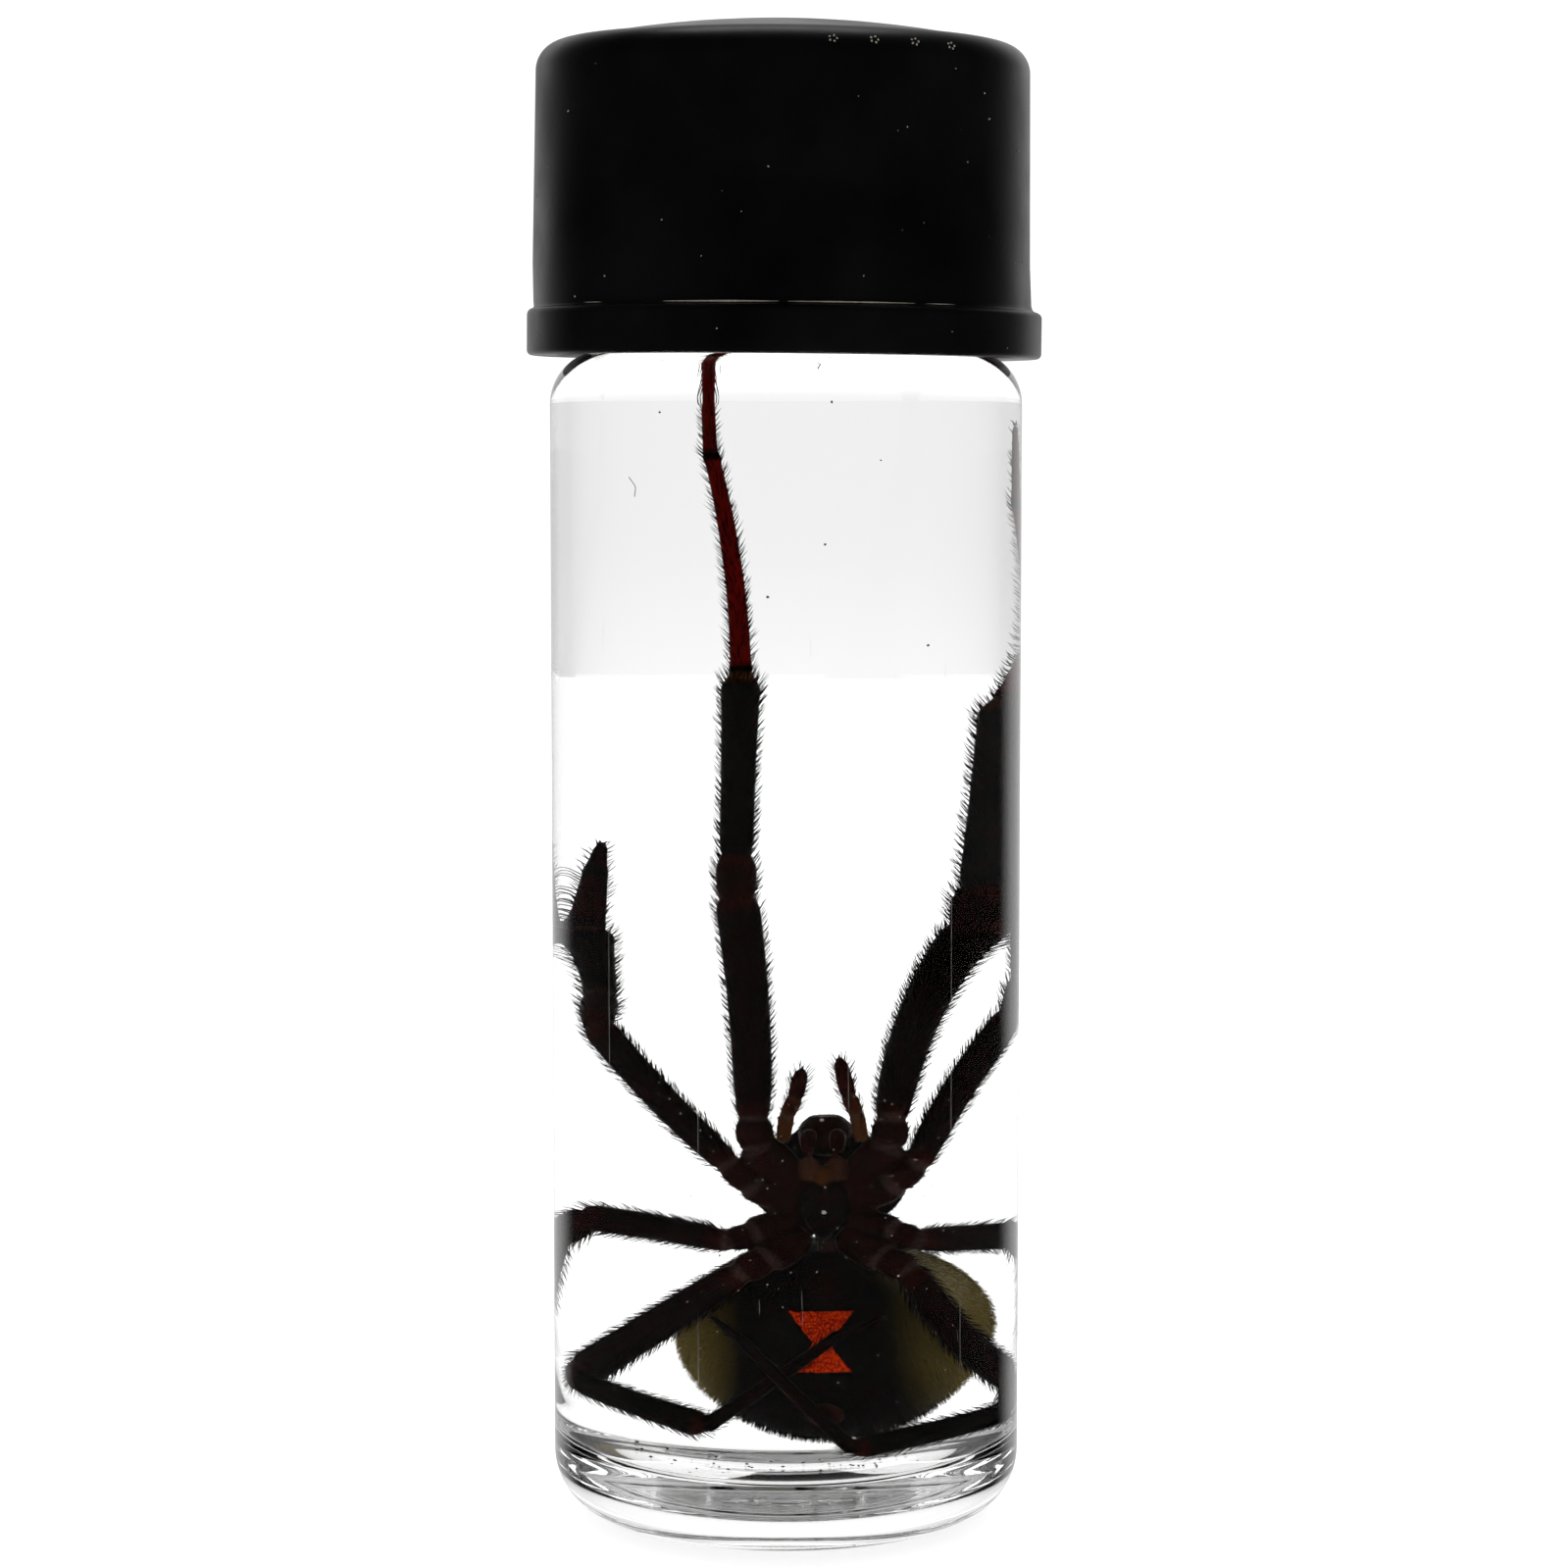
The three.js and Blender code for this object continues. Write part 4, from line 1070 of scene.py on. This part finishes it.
def build_coat(skin, points, carried):
    """Bristles on the legs, palps and front body, and a fine down on the abdomen."""
    mesh = skin.data
    centre, half = np.array(ABDOMEN[0]), np.array(ABDOMEN[1])
    on_abdomen = np.linalg.norm((points - centre) / (half * 1.06), axis=1) < 1.0
    hairy = carried[:, HAIR] > 0.02

    spots, facing, index, random = scatter(mesh, points, BRISTLES_PER_MM2, BRISTLE_SEED, hairy & ~on_abdomen)
    lie = unit_rows(carried[index, LIE])
    lean = leaning(facing, lie, 0.7, 0.75, 1.15, 0.08, random)
    lengths = carried[index, HAIR] * random.uniform(0.6, 1.1, len(spots))
    places, tones = carried[index, PLACE], random.uniform(0, 0.5, len(spots))
    bristles = bristle_material("dark_bristles", "#020101", "#241009")
    high = spots[:, 2] > np.median(spots[:, 2])
    for name, part in (("bristles_low", ~high), ("bristles_high", high)):
        hair_piece(name, spots[part], lean[part], lie[part], lengths[part], BRISTLE_WIDTH, places[part],
                   tones[part], bristles)

    # The down turns light olive only where the skin carries the olive of painted rim light, and stays dark
    # elsewhere
    down = bristle_material("olive_down", "#020101", "#a8924a")
    for name, seed in zip(("abdomen_down_low", "abdomen_down_high"), DOWN_SEEDS):
        spots, facing, index, random = scatter(mesh, points, DOWN_PER_MM2, seed, hairy & on_abdomen)
        lie = np.tile(np.array([[0.0, 0.0, -1.0]]), (len(spots), 1))
        lean = leaning(facing, lie, 0.8, 0.4, 0.9, 0.14, random)
        lengths = carried[index, HAIR] * random.uniform(0.55, 1.15, len(spots))
        olive = np.clip(carried[index, TINTS.index("olive")] * 1.1, 0.0, 1)
        tones = olive * random.uniform(0.75, 1.0, len(spots))
        hair_piece(name, spots, lean, lie, lengths, DOWN_WIDTH, carried[index, PLACE], tones, down)


# Small parts

def hooked(start, along, across, length, radius):
    """A claw: a rod that leaves its start along one direction and bends over to another."""
    along, across = (np.array(v, float) / np.linalg.norm(v) for v in (along, across))
    turn = np.linspace(0, 1, 9)
    reach, drop = np.sin(turn * 1.4) * length, (1 - np.cos(turn * 1.4)) * length * 0.8
    path = np.array(start) + along * reach[:, None] + across * drop[:, None]
    return rod(path, radius * (1 - 0.88 * turn), 8)


def build_claws():
    """Three claws at the end of each leg, and one at the end of each palp."""
    shapes = []
    for name, joints in LEG_JOINTS.items():
        tip, before = np.array(joints[-1]), np.array(joints[-2])
        ahead = (tip - before) / np.linalg.norm(tip - before)
        aside = np.cross(ahead, (0, 1, 0.2))
        for share in (-1, 1, 0):
            start = tip + aside * 0.03 * share - ahead * 0.02
            bend = np.array((0, -1, 0)) * 0.8 + aside * 0.5 * share - np.array((0, 0, 0.3))
            if name == "leg_1_right":
                start = start + np.array(NECK_TIP[-1]) - tip
                bend = np.array((-0.7, -0.4, -0.2)) + aside * 0.4 * share
            shapes.append(hooked(start, ahead, bend, 0.2 if share else 0.12, 0.03))
    for joints in PALP_JOINTS.values():
        shapes.append(hooked(joints[-1], (0, 0, 1), (0, -1, -0.2), 0.12, 0.024))
    horn = mottled("claw_horn", "#0a0403", "#2a0d06", 9000.0, 0.3, 1.2)
    claws = make_piece("tarsal_claws", *joined(shapes), [horn])


def build_fangs():
    shapes = []
    for side in (-1, 1):
        start = (MID_X + side * 0.35, -1.3, 12.08)
        shapes.append(hooked(start, (-side * 0.35, -0.5, -1), (-side, -0.1, -0.4), 0.34, 0.07))
    horn = mottled("fang_horn", "#160403", "#3c0f08", 6000.0, 0.22, 1.2)
    fangs = make_piece("fangs", *joined(shapes), [horn])


def build_eyes():
    """Eight eyes in pairs, set on the top of the head."""
    (head_x, head_y, head_z), (half_x, half_y, half_z) = HEAD
    shapes = []
    for across, height, size in EYES:
        back = math.sqrt(max(0.05, 1 - (across / half_x) ** 2 - ((height - head_z) / half_z) ** 2))
        for side in (-1, 1):
            centre = (head_x + side * across, head_y + half_y * back - 0.01, height)
            shapes.append(ball_mesh(centre, (size,) * 3, 16, 10)[:2])
    lens = mottled("eye_lens", "#0b0908", "#2b2620", 20000.0, 0.08, 1.3)
    eyes = make_piece("eyes", *joined(shapes), [lens])


# Wear

def on_wall(radius, degrees, height):
    """A place on a round wall, its angle from the front towards +X."""
    angle = math.radians(degrees)
    return np.array((radius * math.sin(angle), -radius * math.cos(angle), height))


def wall_line(start, end, width, depth, wander, random):
    """A thin closed ribbon that lies on the glass between two places, given as angle and height."""
    radius = VIAL_R + 0.002
    count = max(6, int(abs(end[1] - start[1]) / 0.35))
    shares = np.linspace(0, 1, count)
    drift = np.cumsum(random.normal(0, wander, count))
    drift -= shares * drift[-1]
    angles = start[0] + (end[0] - start[0]) * shares + drift
    heights = start[1] + (end[1] - start[1]) * shares
    widths = width * random.uniform(0.5, 1.0, count)
    widths[0] = widths[-1] = width * 0.2
    points = []
    for angle, height, wide in zip(angles, heights, widths):
        turn = math.degrees(wide / 2 / radius)
        points += [on_wall(radius, angle - turn, height), on_wall(radius, angle + turn, height),
                   on_wall(radius + depth, angle, height)]
    last = 3 * count - 3
    return np.array(points), ring_faces(count, 3) + [(2, 1, 0), (last, last + 1, last + 2)]


def crumb(centre, size, random):
    """A small uneven grain."""
    points, faces, _ = ball_mesh(centre, np.array((1, 0.6, 1)) * size, 7, 5)
    return points + random.normal(0, size * 0.2, points.shape), faces


def build_scratches(random):
    lines = [wall_line((angle, top), (angle + 0.15, foot), width, 0.004, 0.01, random)
             for angle, top, foot, width in SCRATCHES]
    for _ in range(SMALL_SCRATCHES):
        angle, top = random.uniform(-60, 60), random.uniform(4, 34)
        end = (angle + random.uniform(-0.6, 0.6), top - random.uniform(0.3, 1.6))
        lines.append(wall_line((angle, top), end, 0.007, 0.002, 0.02, random))
    scratched = mottled("scratched_glass", "#8e8e8b", "#dcdcd8", 8000.0, 0.5, 1.5)
    scratches = make_piece("glass_scratches", *joined(lines), [scratched])


def build_fibres(random):
    """Loose fibres and a few dark grains in the upper liquid."""
    shapes = []
    for places, radius in FIBRES:
        path = along_points(places, np.linspace(0, len(places) - 1, len(places) * 6))
        soften(path)
        shapes.append(rod(path, np.full(len(path), radius), 6))
    shapes += [crumb(place, random.uniform(0.02, 0.04), random) for place in FLOATING]
    fibre = mottled("fibre", "#3b3631", "#7d766c", 9000.0, 0.7, 1.3)
    threads = make_piece("loose_fibres", *joined(shapes), [fibre])


def build_motes_and_glints(random):
    """Pale grains on the spider and before it: dust, and two painted glints on the breast plate and the head.
    """
    # The first two grains are painted glints on the breast plate and the head; the rest are dust
    pale_grains = [crumb(place, size, random) for place, size in GLINTS_AND_MOTES]
    for _ in range(STREWN_MOTES):
        place = tuple(random.uniform(low, high) for low, high in MOTES_BOX)
        pale_grains.append(crumb(place, random.uniform(0.008, 0.02), random))
    pale = mottled("pale_mote_and_glint", "#a9a59c", "#f2f0ea", 9000.0, 0.6, 1.3)
    floating = make_piece("pale_motes_and_glints", *joined(pale_grains), [pale])


def build_sediment(random):
    """Silt that lies on the glass floor."""
    grains = []
    for _ in range(STREWN_SILT):
        x, y = random.uniform(-4.3, 4.3), random.uniform(-4.0, 1.5)
        out = math.hypot(x, y)
        if out < 4.6:
            grains.append(crumb((x, y, bowl_height(out) + 0.07), random.uniform(0.015, 0.05), random))
    silt = mottled("silt", "#2a241c", "#6d634f", 9000.0, 0.8, 1.3)
    sediment = make_piece("sediment", *joined(grains), [silt])


def build_cap_dust_and_highlight(random):
    """Grey lines in the crease over the bead that are a painted highlight, pale marks at the upper edge, and
    dust.
    """
    dust_and_highlight = []
    # Painted highlight: grey lines along the crease where it reflects the light above
    for start, end, wide in CAP_CREASE_HIGHLIGHT:
        count = max(8, int((end - start) / 2))
        shares = np.linspace(0, 1, count)
        angles = start + (end - start) * shares
        path = [on_wall(CAP_R_FOOT + 0.03, angle, BEAD_TOP + 0.07) for angle in angles]
        radii = wide * (0.25 + 0.75 * np.sin(shares * math.pi)) * random.uniform(0.7, 1, count)
        dust_and_highlight.append(rod(path, radii, 6))
    for angle, height in CAP_MARKS:
        for turn in (k / 5 * TURN for k in range(5)):
            rise = height + math.sin(turn) * 0.09
            radius = CAP_R_TOP - CAP_ROUND + math.sqrt(CAP_ROUND ** 2 - (rise - ROUNDING_FOOT) ** 2)
            dust_and_highlight.append(crumb(on_wall(radius, angle + math.cos(turn) * 0.9, rise), 0.035, random))
    for _ in range(STREWN_DUST):
        height = random.uniform(CAP_FOOT + 0.2, CAP_TOP - 1.7)
        radius = BEAD_R
        if height >= BEAD_TOP:
            radius = np.interp(height, (BEAD_TOP, CAP_TOP), (CAP_R_FOOT, CAP_R_TOP))
        place = on_wall(radius, random.uniform(-85, 85), height)
        dust_and_highlight.append(crumb(place, random.uniform(0.008, 0.028), random))
    points, faces = joined(dust_and_highlight)
    powder_and_highlight = mottled("dust_and_highlight", "#6f6a5e", "#b9b4a6", 9000.0, 0.9, 1.4)
    specks_and_highlight = make_piece("cap_dust_and_highlight", leaned(points), faces, [powder_and_highlight])


def build_wear():
    """Fine scratches on the glass, loose fibres and grains in the liquid, painted glints on the spider, and
    marks, dust and a painted highlight on the cap.
    """
    random = np.random.default_rng(WEAR_SEED)
    for build in (build_scratches, build_fibres, build_motes_and_glints, build_sediment, build_cap_dust_and_highlight):
        build(random)


# Stage

def build_floor(settings):
    rim = [(FLOOR_R * math.cos(k / FLOOR_SIDES * TURN), FLOOR_R * math.sin(k / FLOOR_SIDES * TURN), 0)
           for k in range(FLOOR_SIDES)]
    mesh = bpy.data.meshes.new("floor")
    mesh.from_pydata(rim, [], [tuple(range(FLOOR_SIDES))])
    floor = bpy.data.objects.new("floor", mesh)
    floor.location.z = -0.00002
    bpy.context.scene.collection.objects.link(floor)
    material, _ = new_material("white_paper")
    mesh.materials.append(surfaced(material, {
        "Base Color": (*settings.floor_colour, 1.0), "Roughness": 0.9, "Emission Color": (1.0, 1.0, 1.0, 1.0),
        "Emission Strength": FLOOR_GLOW}))
    floor.visible_glossy = False


def build_backdrop(settings):
    """A white backdrop that each kind of ray meets at its own brightness, with a band of painted shade near the
    horizon, where the floor meets the backdrop, seen only through the glass.
    """
    world = bpy.data.worlds.new("studio")
    bpy.context.scene.world = world
    world.use_nodes = True
    tree = world.node_tree
    tree.nodes.clear()
    rays = add_node(tree, "LightPath").outputs
    pointing = add_node(tree, "TexCoord").outputs["Generated"]
    _, y, z = add_node(tree, "SeparateXYZ", {"Vector": pointing}).outputs

    def smooth(value, *ends):
        return remap(tree, value, *ends, interpolation_type="SMOOTHSTEP")

    reflected = compute(tree, "GREATER_THAN", rays["Glossy Depth"], 0.5)
    scattered = compute(tree, "GREATER_THAN", rays["Diffuse Depth"], 0.5)
    passed = compute(tree, "GREATER_THAN", rays["Transmission Depth"], 0.5)
    bounced = mix_numbers(tree, passed, smooth(y, *MIRRORED), smooth(y, *INSIDE))
    seen = mix_numbers(tree, reflected, smooth(y, *BEHIND, settings.backdrop), bounced)
    # Painted shade where the floor meets the backdrop, dimming only rays that passed through glass
    horizon_shade = product(tree, smooth(z, *HORIZON_SHADE_RISE), smooth(z, *HORIZON_SHADE_FALL), passed, HORIZON_SHADE)
    dimmed = product(tree, seen, compute(tree, "SUBTRACT", 1.0, horizon_shade))
    strength = mix_numbers(tree, scattered, dimmed, smooth(y, *LIT))
    sky = add_node(tree, "Background", {"Color": (1.0, 1.0, 1.0, 1.0), "Strength": strength})
    add_node(tree, "OutputWorld", {"Surface": sky.outputs["Background"]})
    world.cycles.sampling_method = "NONE"


def build_softbox():
    lamp = bpy.data.lights.new("top_softbox", "AREA")
    lamp.shape = "RECTANGLE"
    lamp.size, lamp.size_y = LAMP_SIDES
    lamp.energy = LAMP_POWER
    softbox = bpy.data.objects.new("top_softbox", lamp)
    softbox.location = LAMP_PLACE
    aim = Vector(LAMP_AIM) - softbox.location
    softbox.rotation_euler = aim.to_track_quat("-Z", "Y").to_euler()
    softbox.visible_camera = False
    bpy.context.scene.collection.objects.link(softbox)


def build_stage(settings):
    build_floor(settings)
    build_backdrop(settings)
    build_softbox()
    scene = bpy.context.scene
    data = bpy.data.cameras.new("camera")
    data.lens = settings.eye_lens
    data.sensor_width = 36.0
    data.shift_x = -2.0 / 1599
    data.clip_start, data.clip_end = 0.005, 10.0
    camera = bpy.data.objects.new("camera", data)
    camera.location = (0.0, -settings.eye_distance, settings.eye_height)
    camera.rotation_euler = (math.pi / 2 - settings.eye_tilt, 0.0, 0.0)
    scene.collection.objects.link(camera)
    scene.camera = camera
    scene.view_settings.view_transform = "Standard"
    scene.view_settings.look = "None"
    # Light goes round in the thick base many times before it leaves
    scene.cycles.max_bounces = BOUNCES
    scene.cycles.transmission_bounces = BOUNCES
    scene.cycles.glossy_bounces = GLOSSY_BOUNCES


# Operators

class SPECIMEN_OT_stage(bpy.types.Operator):
    """Set up the floor, backdrop, light and camera"""
    bl_idname = "specimen.stage"
    bl_label = "Stage"

    def execute(self, context):
        build_stage(context.scene.specimen_studio)
        return {"FINISHED"}


class SPECIMEN_OT_vial(bpy.types.Operator):
    """Build the glass vial and the liquid in it"""
    bl_idname = "specimen.vial"
    bl_label = "Vial and Liquid"

    def execute(self, context):
        build_vial(context.scene.specimen_vial)
        build_liquid(context.scene.specimen_vial)
        return {"FINISHED"}


class SPECIMEN_OT_cap(bpy.types.Operator):
    """Build the screw cap and finish its liner"""
    bl_idname = "specimen.cap"
    bl_label = "Cap"

    def execute(self, context):
        build_cap(context.scene.specimen_vial)
        return {"FINISHED"}


class SPECIMEN_OT_spider(bpy.types.Operator):
    """Build the spider's skin with its coat of bristles"""
    bl_idname = "specimen.spider"
    bl_label = "Spider"

    def execute(self, context):
        build_coat(*build_skin(context.scene.specimen_spider))
        return {"FINISHED"}


class SPECIMEN_OT_details(bpy.types.Operator):
    """Add the claws, fangs and eyes, and the wear of the glass and cap"""
    bl_idname = "specimen.details"
    bl_label = "Small Parts and Wear"

    def execute(self, context):
        for build in (build_claws, build_fangs, build_eyes, build_wear):
            build()
        return {"FINISHED"}


class SPECIMEN_PT_panel(bpy.types.Panel):
    bl_idname = "SPECIMEN_PT_panel"
    bl_label = "Specimen"
    bl_space_type = "VIEW_3D"
    bl_region_type = "UI"
    bl_category = "Specimen"

    def draw(self, context):
        for settings, operators in (("specimen_studio", ("stage",)), ("specimen_vial", ("vial", "cap")),
                                    ("specimen_spider", ("spider", "details"))):
            box = self.layout.box()
            group = getattr(context.scene, settings)
            for name in group.bl_rna.properties.keys():
                if name not in ("rna_type", "name"):
                    box.prop(group, name)
            for name in operators:
                box.operator("specimen." + name)


CLASSES = (StudioSettings, VialSettings, SpiderSettings, SPECIMEN_OT_stage, SPECIMEN_OT_vial, SPECIMEN_OT_cap,
           SPECIMEN_OT_spider, SPECIMEN_OT_details, SPECIMEN_PT_panel)


def register():
    for kind in CLASSES:
        bpy.utils.register_class(kind)
    bpy.types.Scene.specimen_studio = bpy.props.PointerProperty(type=StudioSettings)
    bpy.types.Scene.specimen_vial = bpy.props.PointerProperty(type=VialSettings)
    bpy.types.Scene.specimen_spider = bpy.props.PointerProperty(type=SpiderSettings)


def unregister():
    for name in ("specimen_studio", "specimen_vial", "specimen_spider"):
        delattr(bpy.types.Scene, name)
    for kind in reversed(CLASSES):
        bpy.utils.unregister_class(kind)


def main():
    register()
    bpy.ops.specimen.stage()
    bpy.ops.specimen.vial()
    bpy.ops.specimen.cap()
    bpy.ops.specimen.spider()
    bpy.ops.specimen.details()


if __name__ == "__main__":
    main()
